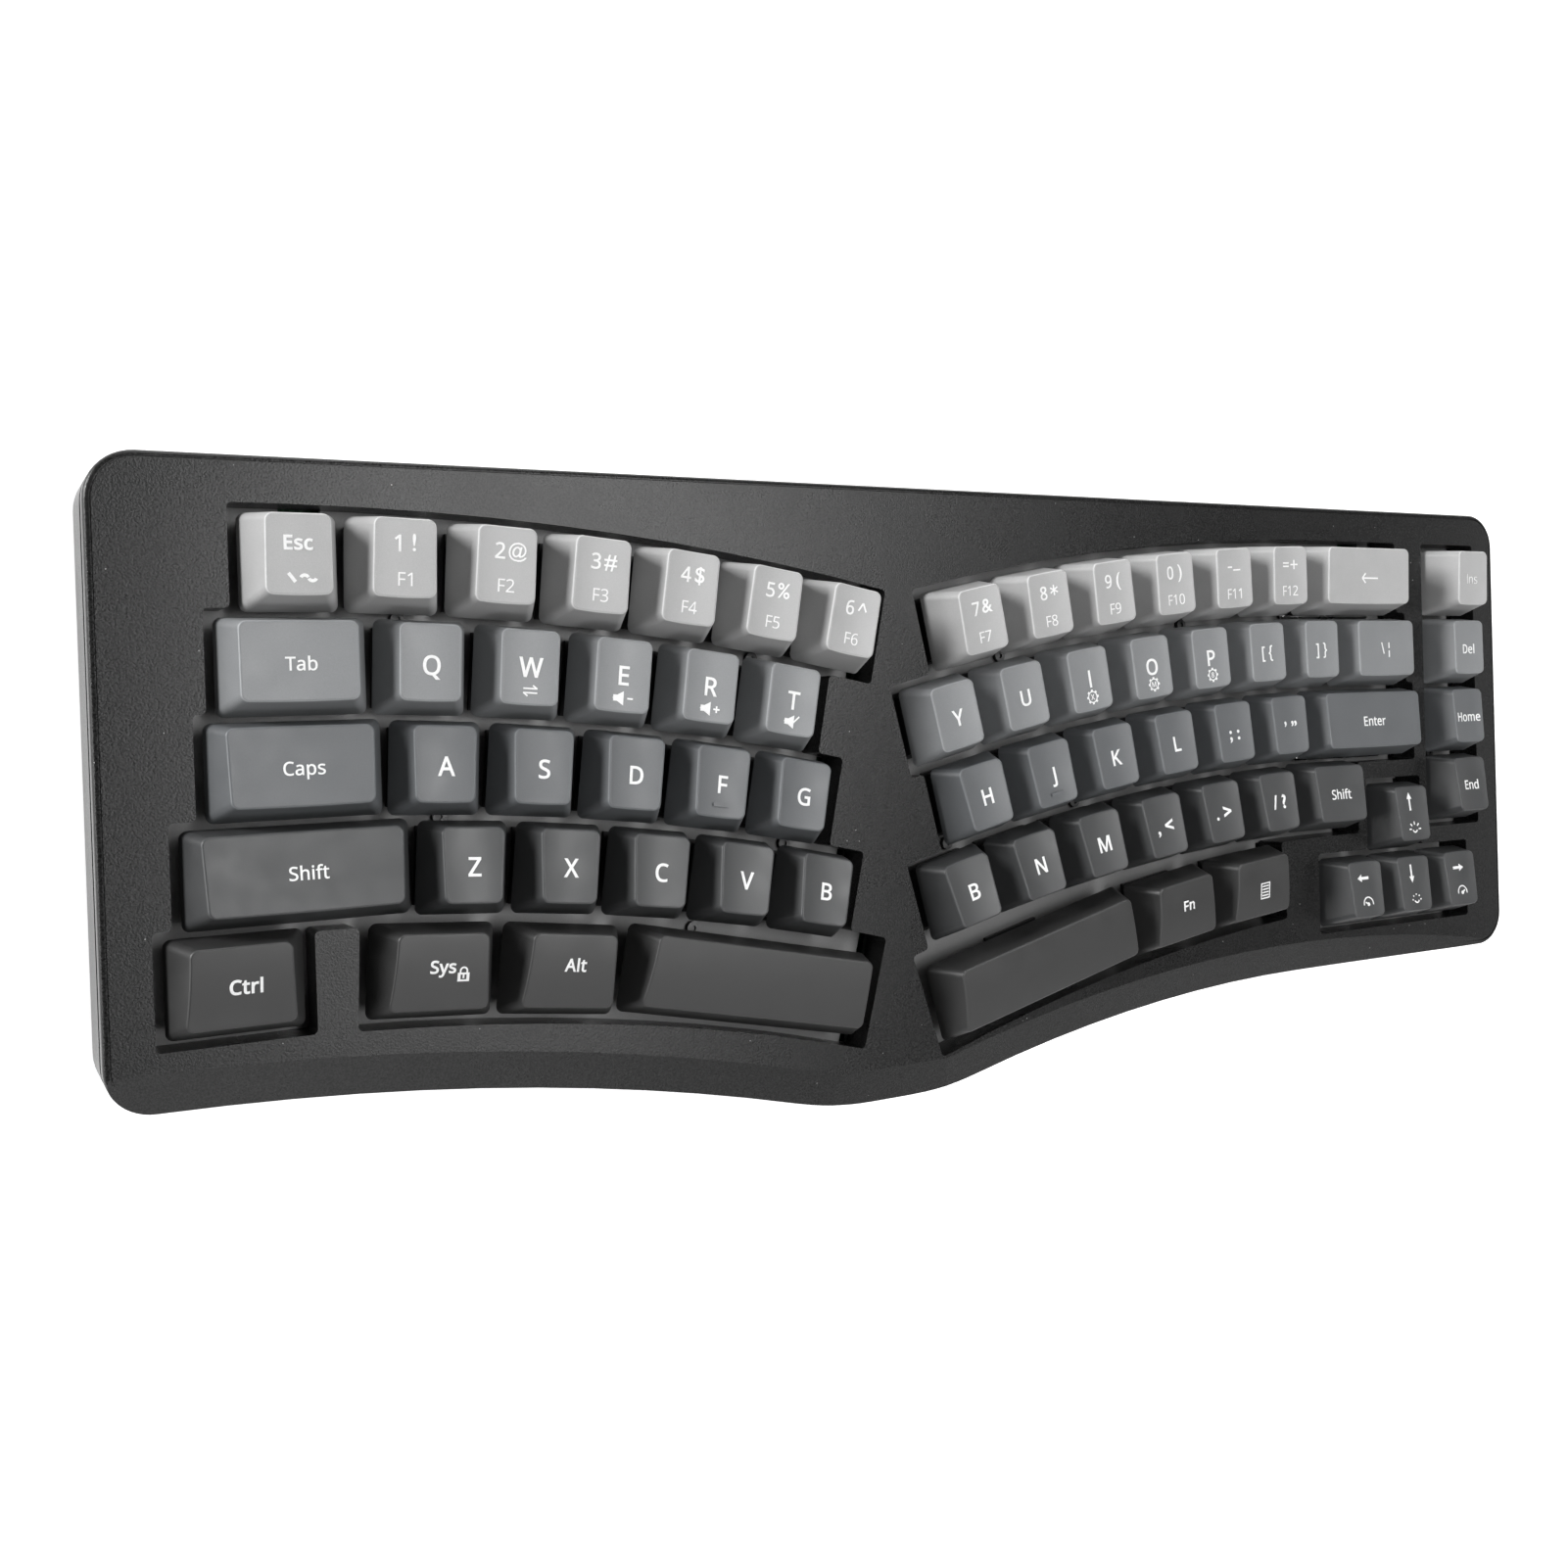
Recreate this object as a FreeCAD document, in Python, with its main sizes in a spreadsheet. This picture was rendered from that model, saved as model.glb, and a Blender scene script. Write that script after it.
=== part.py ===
import FreeCAD, Part
import math
import os

# Ergonomic keyboard with two arced key blocks, in millimetres.
# +Z is up, +X to the right, +Y away from the typist, and the feet stand on Z = 0.
# The origin is the middle of the footprint.

Vector = FreeCAD.Vector
Rotation = FreeCAD.Rotation
Placement = FreeCAD.Placement

UP = Vector(0, 0, 1)
RIGHT = Vector(1, 0, 0)
BACK = Vector(0, 1, 0)

# The driving dimensions: name, value, what it is.
SIZES = [
    # The case
    ("case_width", 377.4, "outer width of the case"),
    ("esc_from_left", 35.1, "left wall to the middle of the escape key"),
    ("esc_from_rear", 19.4, "rear wall to the middle of the top row"),
    ("front_left_x", -31.8, "escape key to the rearmost point of the left front arc"),
    ("front_left_y", 97.9, "top row to that point"),
    ("front_left_radius", 549.0, "radius of the left front arc"),
    ("front_right_x", 260.4, "escape key to the rearmost point of the right front arc"),
    ("front_right_y", 102.7, "top row to that point and to the straight edge beyond it"),
    ("front_right_radius", 443.0, "radius of the right front arc"),
    ("nose_reach", 146.5, "rearmost point of the left front arc to the nose"),
    ("nose_flat", 15.5, "half width of the foremost stretch of the front edge"),
    ("nose_radius", 80.0, "rounding at both ends of that stretch"),
    ("rear_corner_radius", 9.0, "rounding of the rear corners, seen from above"),
    ("front_corner_radius", 9.0, "rounding of the front corners, seen from above"),
    ("case_wall", 2.6, "thickness of the side walls"),
    ("floor_thickness", 2.4, "thickness of the case floor"),
    ("face_thickness", 1.9, "thickness of the top face"),
    ("face_to_seam", 3.4, "top face down to the seam between the halves of the case"),
    ("seam_gap", 1.8, "height of the shadow gap along the seam"),
    ("seam_inset", 0.9, "depth of the shadow gap"),
    ("rim_radius", 1.1, "rounding between the top face and the side"),
    ("groove_from_edge", 1.1, "side of the case to the fine groove around the face"),
    ("groove_width", 0.3, "width of that groove"),
    ("groove_depth", 0.4, "depth of that groove"),
    ("lip_width", 7.6, "width of the sloping front lip"),
    ("lip_drop", 2.2, "fall of the front lip at the edge"),
    ("bottom_chamfer", 2.4, "chamfer under the side walls"),
    # Heights inside
    ("foot_drop", 1.2, "how far the rubber feet stand below the case"),
    ("pin_room", 3.4, "case floor to the circuit board"),
    ("board_thickness", 1.6, "thickness of the circuit board"),
    ("board_to_plate", 3.5, "circuit board to the underside of the plate"),
    ("plate_thickness", 1.5, "thickness of the switch plate"),
    ("plate_to_cap", 6.0, "switch plate to the skirt of a key that is up"),
    ("face_above_cap", 1.7, "skirt of a key that is up to the top face"),
    ("board_inset", 6.0, "side of the case to the circuit board"),
    ("plate_inset", 3.4, "side of the case to the switch plate"),
    # The key layout
    ("key_pitch", 19.05, "width of one key unit"),
    ("key_gap", 0.75, "extra space between keys along an arc"),
    ("left_end_gap", 0.4, "extra space inside the straight keys at the left end"),
    ("right_end_gap", 0.8, "extra space inside the straight keys at the right end"),
    ("arc_radius", 590.0, "radius of the top row's arcs"),
    ("left_drift", 1.4, "how far each left arc starts further out than the one behind it"),
    ("right_apex", 268.9, "escape key to the start of the right top arc"),
    ("right_drift", 2.8, "how far each right arc starts further out than the one behind it"),
    ("backspace_x", 280.2, "escape key to the backspace key"),
    ("backslash_x", 288.4, "escape key to the backslash key"),
    ("enter_x", 283.9, "escape key to the enter key"),
    ("shift_right_x", 269.8, "escape key to the right shift key"),
    ("control_x", -12.0, "escape key to the control key"),
    ("left_thumb_apex", -12.3, "escape key to the start of the left thumb arc"),
    ("left_thumb_start", 36.8, "start of the left thumb arc to its first key"),
    ("right_thumb_apex", 294.0, "escape key to the start of the right thumb arc"),
    ("right_thumb_start", 53.7, "start of the right thumb arc to its last key"),
    ("navigation_x", 322.3, "escape key to the column of navigation keys"),
    ("arrow_x", 297.6, "escape key to the up and down keys"),
    ("arrow_drop", 83.0, "top row to the row of arrow keys"),
    # The wells in the top face
    ("well_margin", 1.15, "key cell to the front and rear edges of a well"),
    ("well_end_margin", 1.4, "key cell to the outer end of a well"),
    ("well_inner_margin", 2.3, "key cell to the end of a well at the middle"),
    ("well_thumb_rise", 3.5, "how far the thumb row's well reaches into the row behind it"),
    ("well_corner", 1.0, "rounding of the corners of a well"),
    ("collar_wall", 1.5, "wall that goes down around each well"),
    ("collar_gap", 0.3, "collar to the switch plate"),
    # Openings in the switch plate
    ("plate_past_keys", 0.4, "key cell to the opening in the plate past the end of a row"),
    ("plate_web", 0.5, "how far the plate reaches past a row beside the end of a shorter row"),
    ("plate_gap_reach", 0.5, "how far such an opening reaches under a collar"),
    ("slot_width", 8.0, "slots in the plate behind the top row, across"),
    ("slot_depth", 2.4, "slots behind the top row, front to back"),
    ("slot_from_row", 10.8, "middle of the top row to the slots behind it"),
    ("slot_from_escape", 3.8, "escape key to the slot behind it"),
    ("slot_from_backspace", 11.2, "backspace key to the slot behind it"),
    # The keycaps
    ("cap_gap", 0.95, "key cell less the skirt of its cap"),
    ("cap_wall", 1.3, "wall of a cap"),
    ("cap_roof", 1.5, "thickness of a cap's roof at its thinnest"),
    ("cap_top_width", 11.8, "top face of a one-unit cap, across"),
    ("cap_top_depth", 14.4, "top face of a cap, front to back"),
    ("cap_top_shift", 0.8, "top face of a cap behind the middle of its skirt"),
    ("cap_height_1", 9.7, "cap height, top row"),
    ("cap_height_2", 8.0, "cap height, second row"),
    ("cap_height_3", 7.4, "cap height, third row"),
    ("cap_height_4", 7.9, "cap height, fourth row"),
    ("cap_height_5", 7.5, "cap height, thumb row"),
    ("cap_tilt_1", 1.9, "rise of the cap top towards the back in degrees, top row"),
    ("cap_tilt_2", -1.0, "rise of the cap top in degrees, second row"),
    ("cap_tilt_3", -4.4, "rise of the cap top in degrees, third row"),
    ("cap_tilt_4", -7.2, "rise of the cap top in degrees, fourth row"),
    ("cap_tilt_5", 7.8, "rise of the cap top in degrees, thumb row"),
    ("cap_dish", 0.55, "depth of the hollow in a cap's top"),
    ("cap_crown", 0.4, "rise of the rounded top of a thumb key"),
    ("cap_corner", 1.6, "rounding of a cap's upright edges"),
    ("cap_edge", 0.45, "rounding around a cap's top face"),
    ("cap_blank", 2.5, "extra height of a cap before its top is shaped"),
    ("post_diameter", 5.6, "post under a cap that takes the stem"),
    ("post_lift", 0.3, "skirt of a cap to the foot of its post"),
    ("homing_bar_width", 3.6, "homing bar on the two index finger keys, across"),
    ("homing_bar_depth", 0.7, "homing bar, front to back"),
    ("homing_bar_height", 0.5, "rise of a homing bar"),
    ("homing_bar_from_front", 2.2, "front edge of the cap's top to its homing bar"),
    # The switches
    ("key_travel", 3.8, "how far a key goes down"),
    ("switch_body", 13.8, "switch body below the plate, each way"),
    ("switch_hole", 14.0, "hole for it in the plate"),
    ("switch_flange", 15.4, "flange on the plate, each way"),
    ("switch_flange_height", 0.9, "thickness of that flange"),
    ("switch_top_width", 10.4, "top of the switch, across"),
    ("switch_top_depth", 11.0, "top of the switch, front to back"),
    ("switch_below_cap", 0.2, "top of the switch to the skirt of a key that is up"),
    ("switch_floor", 1.5, "floor inside the switch"),
    ("slider_width", 6.6, "slider in the switch, across"),
    ("slider_depth", 5.8, "slider in the switch, front to back"),
    ("slider_clearance", 0.3, "slider to its walls and to the floor"),
    ("slider_roof", 0.8, "slider's top over its bore"),
    ("cross_length", 4.0, "cross on top of the slider, each way"),
    ("cross_thickness", 1.2, "arm of the cross"),
    ("cross_height", 3.6, "height of the cross"),
    ("cross_fit", 0.05, "cross to the socket in the cap"),
    ("spring_diameter", 4.0, "outer diameter of a key spring"),
    ("spring_bore", 3.0, "inner diameter of a key spring"),
    ("spring_clearance", 0.4, "spring to the bore of the slider"),
    # The stabilisers
    ("stabiliser_reach", 11.94, "middle of a two-unit key to its stabiliser"),
    ("stabiliser_reach_wide", 19.05, "middle of a thumb bar to its stabiliser"),
    ("stabiliser_width", 6.4, "stabiliser housing, across"),
    ("stabiliser_depth", 12.0, "stabiliser housing, front to back"),
    ("stabiliser_height", 2.2, "stabiliser housing above the plate"),
    ("stabiliser_step", 0.7, "ledge of a stabiliser housing on the plate"),
    ("stabiliser_slider", 3.0, "stabiliser slider, each way"),
    ("stabiliser_fit", 0.2, "stabiliser housing to its hole in the plate"),
    ("wire_diameter", 1.5, "stabiliser wire"),
    ("wire_forward", 8.9, "middle of a key to its stabiliser wire"),
    ("wire_leg", 3.2, "length of the legs of a stabiliser wire"),
    ("wire_lift", 0.2, "switch plate to a stabiliser wire"),
    # Board, port and fixings
    ("chip_size", 9.0, "controller chip, each way"),
    ("chip_height", 1.0, "height of the controller chip"),
    ("chip_x", 137.5, "escape key to the controller chip"),
    ("chip_y", 8.0, "top row to the controller chip"),
    ("foam_thickness", 2.8, "sound foam under the circuit board"),
    ("foam_inset", 9.0, "side of the case to the sound foam"),
    ("port_x", 82.0, "escape key to the cable port"),
    ("port_width", 9.0, "cable port, across"),
    ("port_height", 3.2, "cable port, height"),
    ("port_length", 7.6, "cable port, length"),
    ("port_rounding", 1.4, "rounding of the cable port, seen from the rear"),
    ("port_wall", 0.35, "wall of the cable port"),
    ("port_recess", 0.6, "outer face of the rear wall to the mouth of the port"),
    ("port_clearance", 0.25, "cable port to its opening in the wall"),
    ("port_tongue_width", 6.6, "contact tongue in the cable port, across"),
    ("port_tongue_height", 0.7, "contact tongue, thickness"),
    ("port_tongue_length", 5.0, "contact tongue, length"),
    ("boss_diameter", 4.0, "screw bosses"),
    ("boss_clearance", 0.5, "boss to the holes in the plate and the board"),
    ("boss_inset", 5.0, "side of the case to the bosses along it"),
    ("boss_drop", 6.0, "how far the bosses of the top case reach below the seam"),
    ("screw_shank", 1.8, "screw shank diameter"),
    ("screw_hole", 2.2, "screw hole diameter"),
    ("screw_head", 2.8, "screw head diameter"),
    ("screw_head_height", 1.0, "screw head height"),
    ("screw_socket", 1.2, "socket in a screw head, across"),
    ("screw_socket_depth", 0.5, "depth of that socket"),
    ("screw_recess", 3.4, "diameter of the recess for a case screw's head"),
    ("screw_sink", 0.3, "underside of the case to the head of a case screw"),
    ("screw_reach", 6.0, "how far a case screw goes into the top case"),
    ("plate_screw_reach", 4.5, "how far a plate screw goes into its boss"),
    ("thumb_screw_x", 84.2, "escape key to the plate screw behind the left thumb bar"),
    ("thumb_screw_y", 75.7, "top row to that screw"),
    # The feet
    ("pad_length", 26.0, "rubber foot, across"),
    ("pad_depth", 9.0, "rubber foot, front to back"),
    ("pad_rounding", 2.7, "rounding of a rubber foot's corners"),
    ("pad_recess", 0.8, "how deep a rubber foot sits in the case"),
    ("pad_from_side", 30.0, "side of the case to the middle of a rubber foot"),
    ("pad_from_rear", 9.5, "rear wall to the middle of a rear rubber foot"),
    ("pad_from_front", 29.0, "foremost edge to the middle of a front rubber foot"),
    ("pad_from_nose", 17.5, "foremost edge to the middle of the rubber foot between the halves"),
    ("foot_width", 26.0, "fold-out foot, across"),
    ("foot_length", 20.0, "fold-out foot, hinge to tip"),
    ("foot_thickness", 3.2, "fold-out foot, thickness"),
    ("foot_clearance", 0.5, "fold-out foot to its recess"),
    ("foot_from_side", 36.0, "side of the case to the middle of a fold-out foot"),
    ("foot_from_rear", 20.0, "rear wall to the hinge of a fold-out foot"),
    ("foot_sink", 0.2, "underside of the case to a folded foot"),
    ("foot_housing_wall", 2.6, "walls around the recess of a fold-out foot"),
    ("foot_roof", 1.0, "roof over the recess of a fold-out foot"),
    ("pin_diameter", 2.0, "hinge pins of a fold-out foot"),
    ("pin_length", 1.6, "length of a hinge pin"),
    ("pin_clearance", 0.3, "hinge pin to its hole"),
    ("scoop_width", 12.0, "finger scoop at the tip of a fold-out foot, across"),
    ("scoop_length", 6.0, "finger scoop, front to back"),
    ("scoop_depth", 1.4, "depth of the finger scoop"),
]

# Key rows from the back: the straight key at the outer end with its width in key units,
# then the one-unit keys that follow the arc towards the middle.
LEFT_ROWS = [
    ("escape", 1.0, ["digit_1", "digit_2", "digit_3", "digit_4", "digit_5", "digit_6"]),
    ("tab", 1.5, ["q", "w", "e", "r", "t"]),
    ("caps_lock", 1.75, ["a", "s", "d", "f", "g"]),
    ("shift_left", 2.25, ["z", "x", "c", "v", "b_left"]),
]
RIGHT_ROWS = [
    ("backspace", 2.0, ["equals", "minus", "digit_0", "digit_9", "digit_8", "digit_7"]),
    ("backslash", 1.5, ["bracket_right", "bracket_left", "p", "o", "i", "u", "y"]),
    ("enter", 2.25, ["quote", "semicolon", "l", "k", "j", "h"]),
    ("shift_right", 1.3, ["slash", "period", "comma", "m", "n", "b_right"]),
]
LEFT_THUMB = [("system", 1.35), ("alt", 1.35), ("space_left", 3.15)]
RIGHT_THUMB = [("menu", 1.35), ("function", 1.35), ("space_right", 3.15)]
HALVES = {1: (LEFT_ROWS, LEFT_THUMB), -1: (RIGHT_ROWS, RIGHT_THUMB)}
NAVIGATION = ["insert", "delete", "home", "end"]
STABILISED = {
    "backspace": "stabiliser_reach",
    "enter": "stabiliser_reach",
    "shift_left": "stabiliser_reach",
    "space_left": "stabiliser_reach_wide",
    "space_right": "stabiliser_reach_wide",
}

# Keys that share a node, because a part may have no more than sixty nodes.
SHARED_NODES = {
    "keys_digits_left": ["digit_1", "digit_2", "digit_3", "digit_4", "digit_5", "digit_6"],
    "keys_digits_right": ["digit_7", "digit_8", "digit_9", "digit_0", "minus", "equals"],
    "keys_punctuation": ["bracket_left", "bracket_right", "backslash", "semicolon", "quote",
                         "comma", "period", "slash"],
    "keys_navigation": ["insert", "delete", "home", "end"],
    "keys_arrows": ["arrow_up", "arrow_left", "arrow_down", "arrow_right"],
}

# Most plate screws lie half way between two keys of neighbouring rows.
PLATE_SCREWS = [
    ("digit_1", "q"), ("digit_5", "t"), ("a", "z"), ("g", "b_left"),
    ("digit_8", "u"), ("minus", "p"), ("h", "b_right"), ("k", "m"), ("home", "end"),
]

# Pieces that are joined run into each other by OVERLAP, and a cutting tool runs past the face
# that it opens by OVERSHOOT.
OVERLAP = 0.2
OVERSHOOT = 1.0
THUMB_ROW = 4

doc = FreeCAD.newDocument("keyboard")
sheet = doc.addObject("Spreadsheet::Sheet", "sizes")
for line, (name, value, note) in enumerate(SIZES, start=1):
    sheet.set(f"A{line}", note)
    sheet.set(f"B{line}", str(value))
    sheet.setAlias(f"B{line}", name)
doc.recompute()


def size(name):
    """A driving dimension, read from the sheet."""
    return float(sheet.get(name))


# The depth of the case: the left front arc runs forwards up to the flat stretch of the nose.
CASE_DEPTH = ("(sizes.esc_from_rear + sizes.front_left_y + sizes.front_left_radius - sqrt("
              "sizes.front_left_radius * sizes.front_left_radius"
              " - sizes.nose_reach * sizes.nose_reach))")

# Heights and places, as formulas on the sheet.
CASE_BOTTOM = "sizes.foot_drop"
FLOOR_TOP = f"({CASE_BOTTOM} + sizes.floor_thickness)"
BOARD_BOTTOM = f"({FLOOR_TOP} + sizes.pin_room)"
BOARD_TOP = f"({BOARD_BOTTOM} + sizes.board_thickness)"
PLATE_BOTTOM = f"({BOARD_TOP} + sizes.board_to_plate)"
PLATE_TOP = f"({PLATE_BOTTOM} + sizes.plate_thickness)"
CAP_BOTTOM = f"({PLATE_TOP} + sizes.plate_to_cap)"
FACE_TOP = f"({CAP_BOTTOM} + sizes.face_above_cap)"
FACE_BOTTOM = f"({FACE_TOP} - sizes.face_thickness)"
SEAM = f"({FACE_TOP} - sizes.face_to_seam)"
BOSS_MEETING = f"({SEAM} - sizes.boss_drop)"
SWITCH_TOP = f"({CAP_BOTTOM} - sizes.switch_below_cap)"
SWITCH_FLOOR = f"({BOARD_TOP} + sizes.switch_floor)"
COLLAR_BOTTOM = f"({PLATE_TOP} + sizes.collar_gap)"
ESC_X = "(sizes.esc_from_left - sizes.case_width / 2)"
ESC_Y = f"({CASE_DEPTH} / 2 - sizes.esc_from_rear)"
REAR_Y = f"({CASE_DEPTH} / 2)"
NOSE_X = f"({ESC_X} + sizes.front_left_x + sizes.nose_reach + sizes.nose_flat)"


def level(formula):
    """The number that a formula on the sheet comes to."""
    return float(sheet.evalExpression(formula))


def bind(item, **formulas):
    """Ties properties of an object to formulas on the sheet."""
    for name, formula in formulas.items():
        item.setExpression(name, formula)
    return item


def place(item, x="0", y="0", z="0"):
    """Ties the position of an object to formulas on the sheet."""
    item.setExpression("Placement.Base.x", x)
    item.setExpression("Placement.Base.y", y)
    item.setExpression("Placement.Base.z", z)
    return item


def box(name, width, depth, height, x, y, z):
    """A box by its size and its middle in x and y, standing on z."""
    item = doc.addObject("Part::Box", name)
    bind(item, Length=width, Width=depth, Height=height)
    return place(item, f"{x} - ({width}) / 2", f"{y} - ({depth}) / 2", z)


def cylinder(name, radius, height, x, y, z):
    item = doc.addObject("Part::Cylinder", name)
    bind(item, Radius=radius, Height=height)
    return place(item, x, y, z)


def cut(name, base, tool):
    item = doc.addObject("Part::Cut", name)
    item.Base = base
    item.Tool = tool
    return item


def fuse(name, pieces):
    item = doc.addObject("Part::MultiFuse", name)
    item.Shapes = pieces
    return item


def feature(name, shape):
    item = doc.addObject("Part::Feature", name)
    item.Shape = shape
    return item


def fillet(name, base, radii):
    """Rounds edges of an object: radii holds pairs of an edge number and its radius."""
    item = doc.addObject("Part::Fillet", name)
    item.Base = base
    item.Edges = [(number, radius, radius) for number, radius in radii]
    return item


def is_upright(edge):
    """Whether an edge runs straight up."""
    if len(edge.Vertexes) != 2:
        return False
    run = edge.Vertexes[1].Point - edge.Vertexes[0].Point
    return run.Length > 0 and abs(abs(run.z) - run.Length) < 1e-6


# Key places

def arc_place(apex_x, along, row, side):
    """Placement of a key that sits along an arc; side is 1 for the left half and -1 for the right."""
    radius = size("arc_radius") - row * size("key_pitch")
    turn = along / radius
    x = apex_x + side * radius * math.sin(turn)
    y = -row * size("key_pitch") - radius * (1 - math.cos(turn))
    return key_place(x, y, -side * math.degrees(turn))


def key_place(x, y, turn=0.0):
    """Placement of a key by its distance from the escape key and its turn in degrees."""
    return Placement(Vector(level(ESC_X) + x, level(ESC_Y) + y, 0), Rotation(UP, turn))


THUMB_NAMES = {1: "left_thumb", -1: "right_thumb"}
END_GAPS = {1: "left_end_gap", -1: "right_end_gap"}


def row_apex(row, side):
    """Escape key to the point where a row's arc starts."""
    if side > 0:
        return -row * size("left_drift")
    return size("right_apex") + row * size("right_drift")


def row_start(row, end_key, end_units, side):
    """Arc length from the start of a row's arc to the first key on it."""
    reach = (end_units + 1) / 2 * size("key_pitch") + size(END_GAPS[side])
    end_x = 0.0 if side > 0 else size(f"{end_key}_x")
    return side * (end_x + side * reach - row_apex(row, side))


def lay_out_keys():
    """Every key: name to (placement, width in units, cap row)."""
    pitch = size("key_pitch")
    gap = size("key_gap")
    keys = {}
    for side, (rows, thumb) in HALVES.items():
        for row, (end_key, end_units, arc_keys) in enumerate(rows):
            end_x = 0.0 if side > 0 else size(f"{end_key}_x")
            keys[end_key] = (key_place(end_x, -row * pitch), end_units, row)
            start = row_start(row, end_key, end_units, side)
            for step, name in enumerate(arc_keys):
                middle = arc_place(row_apex(row, side), start + step * (pitch + gap), row, side)
                keys[name] = (middle, 1.0, row)
        along = size(f"{THUMB_NAMES[side]}_start")
        for step, (name, units) in enumerate(thumb):
            if step:
                along += (thumb[step - 1][1] + units) / 2 * pitch + gap
            middle = arc_place(size(f"{THUMB_NAMES[side]}_apex"), along, THUMB_ROW, side)
            keys[name] = (middle, units, THUMB_ROW)
    keys["control"] = (key_place(size("control_x"), -THUMB_ROW * pitch), 1.35, THUMB_ROW)
    for row, name in enumerate(NAVIGATION):
        keys[name] = (key_place(size("navigation_x"), -row * pitch), 1.0, row)
    arrow_y = -size("arrow_drop")
    for name, across, up in (("arrow_left", -1, 0), ("arrow_down", 0, 0),
                             ("arrow_right", 1, 0), ("arrow_up", 0, 1)):
        middle = key_place(size("arrow_x") + across * pitch, arrow_y + up * pitch)
        keys[name] = (middle, 1.0, 3)
    return keys


KEYS = lay_out_keys()


# The outline of the case

def slab(name, bottom, top, inset, front_inset=None, rounded=True):
    """The case outline between two heights, drawn in by inset all round."""
    front_inset = front_inset or inset
    height = f"{top} - {bottom}"
    block = doc.addObject("Part::Box", f"{name}_block")
    bind(block, Length=f"sizes.case_width - 2 * ({inset})", Height=height,
         Width=f"{CASE_DEPTH} - ({inset}) - ({front_inset})")
    place(block, f"({inset}) - sizes.case_width / 2", f"({front_inset}) - {CASE_DEPTH} / 2", bottom)
    hollows = []
    for side in ("left", "right"):
        x, y = arc_centre(side)
        radius = f"sizes.front_{side}_radius + ({front_inset})"
        hollows.append(cylinder(f"{name}_{side}_arc", radius, height, x, y, bottom))
    beyond = doc.addObject("Part::Box", f"{name}_right_end")
    bind(beyond, Length="sizes.case_width", Width=CASE_DEPTH, Height=height)
    place(beyond, f"{ESC_X} + sizes.front_right_x",
          f"{ESC_Y} - sizes.front_right_y + ({front_inset}) - {CASE_DEPTH}", bottom)
    outline = cut(f"{name}_outline", block, fuse(f"{name}_front", hollows + [beyond]))
    if not rounded:
        return outline
    doc.recompute()
    return fillet(name, outline, corner_radii(outline.Shape, level(inset), level(front_inset)))


def arc_centre(side):
    """The centre of a front arc, as formulas."""
    return (f"{ESC_X} + sizes.front_{side}_x",
            f"{ESC_Y} - sizes.front_{side}_y - sizes.front_{side}_radius")


def corner_radii(shape, inset, front_inset):
    """The rounding of each corner of the case outline."""
    radii = []
    side_x = size("case_width") / 2 - inset
    nose_x = level(NOSE_X)
    for number, edge in enumerate(shape.Edges, start=1):
        if not is_upright(edge):
            continue
        point = edge.Vertexes[0].Point
        if point.y > 0:
            radii.append((number, size("rear_corner_radius") - inset))
        elif abs(abs(point.x) - side_x) < 0.01:
            radii.append((number, size("front_corner_radius") - inset))
        elif abs(point.x - nose_x) < 2 * size("nose_flat"):
            radii.append((number, size("nose_radius") - front_inset))
    return radii


# The wells in the top face

def ring_piece(row, margin, start, end, apex_x, side, bottom, height, rise=0.0):
    """A stretch of a key row along its arc, from one arc length to another."""
    middle_radius = size("arc_radius") - row * size("key_pitch")
    half = size("key_pitch") / 2 + margin
    centre = Vector(level(ESC_X) + apex_x, level(ESC_Y) - size("arc_radius"), bottom)
    angles = [90 - side * math.degrees(along / middle_radius) for along in (start, end)]
    sweep = max(angles) - min(angles)
    outer = Part.makeCylinder(middle_radius + half + rise, height, centre, UP, sweep)
    inner = Part.makeCylinder(middle_radius - half, height, centre, UP, sweep)
    piece = outer.cut(inner)
    piece.rotate(centre, UP, min(angles))
    return piece


def straight_piece(row, left, right, margin, bottom, height):
    """A stretch of a key row that isn't on an arc, between two distances from the escape key."""
    half = size("key_pitch") / 2 + margin
    middle_y = level(ESC_Y) - row * size("key_pitch")
    corner = Vector(level(ESC_X) + left, middle_y - half, bottom)
    return Part.makeBox(right - left, 2 * half, height, corner)


def half_well(side, margin, outer_margin, inner_margin, bottom, height):
    """The space of one half's keys: each row's straight end and its arc, and the thumb keys.

    The margins are those to the front and rear, at the outer ends and at the inner ends.
    """
    rows, thumb = HALVES[side]
    pitch = size("key_pitch")
    gap = size("key_gap")
    pieces = []
    for row, (end_key, end_units, arc_keys) in enumerate(rows):
        apex = row_apex(row, side)
        first = row_start(row, end_key, end_units, side)
        last = first + (len(arc_keys) - 1) * (pitch + gap)
        end_x = KEYS[end_key][0].Base.x - level(ESC_X) - side * end_units / 2 * pitch
        ends = sorted([end_x - side * outer_margin, apex])
        pieces.append(straight_piece(row, ends[0], ends[1], margin, bottom, height))
        pieces.append(ring_piece(row, margin, 0.0, last + pitch / 2 + inner_margin, apex, side,
                                 bottom, height))
    outer_units = thumb[0][1]
    start = size(f"{THUMB_NAMES[side]}_start") - outer_units / 2 * pitch
    reach = start + sum(units for _, units in thumb) * pitch + (len(thumb) - 1) * gap
    pieces.append(ring_piece(THUMB_ROW, margin, start - outer_margin, reach + inner_margin,
                             size(f"{THUMB_NAMES[side]}_apex"), side, bottom, height,
                             size("well_thumb_rise")))
    if side > 0:
        half_width = KEYS["control"][1] / 2 * pitch + outer_margin
        pieces.append(straight_piece(THUMB_ROW, size("control_x") - half_width,
                                     size("control_x") + half_width, margin, bottom, height))
    return pieces[0].multiFuse(pieces[1:]).removeSplitter()


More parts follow.
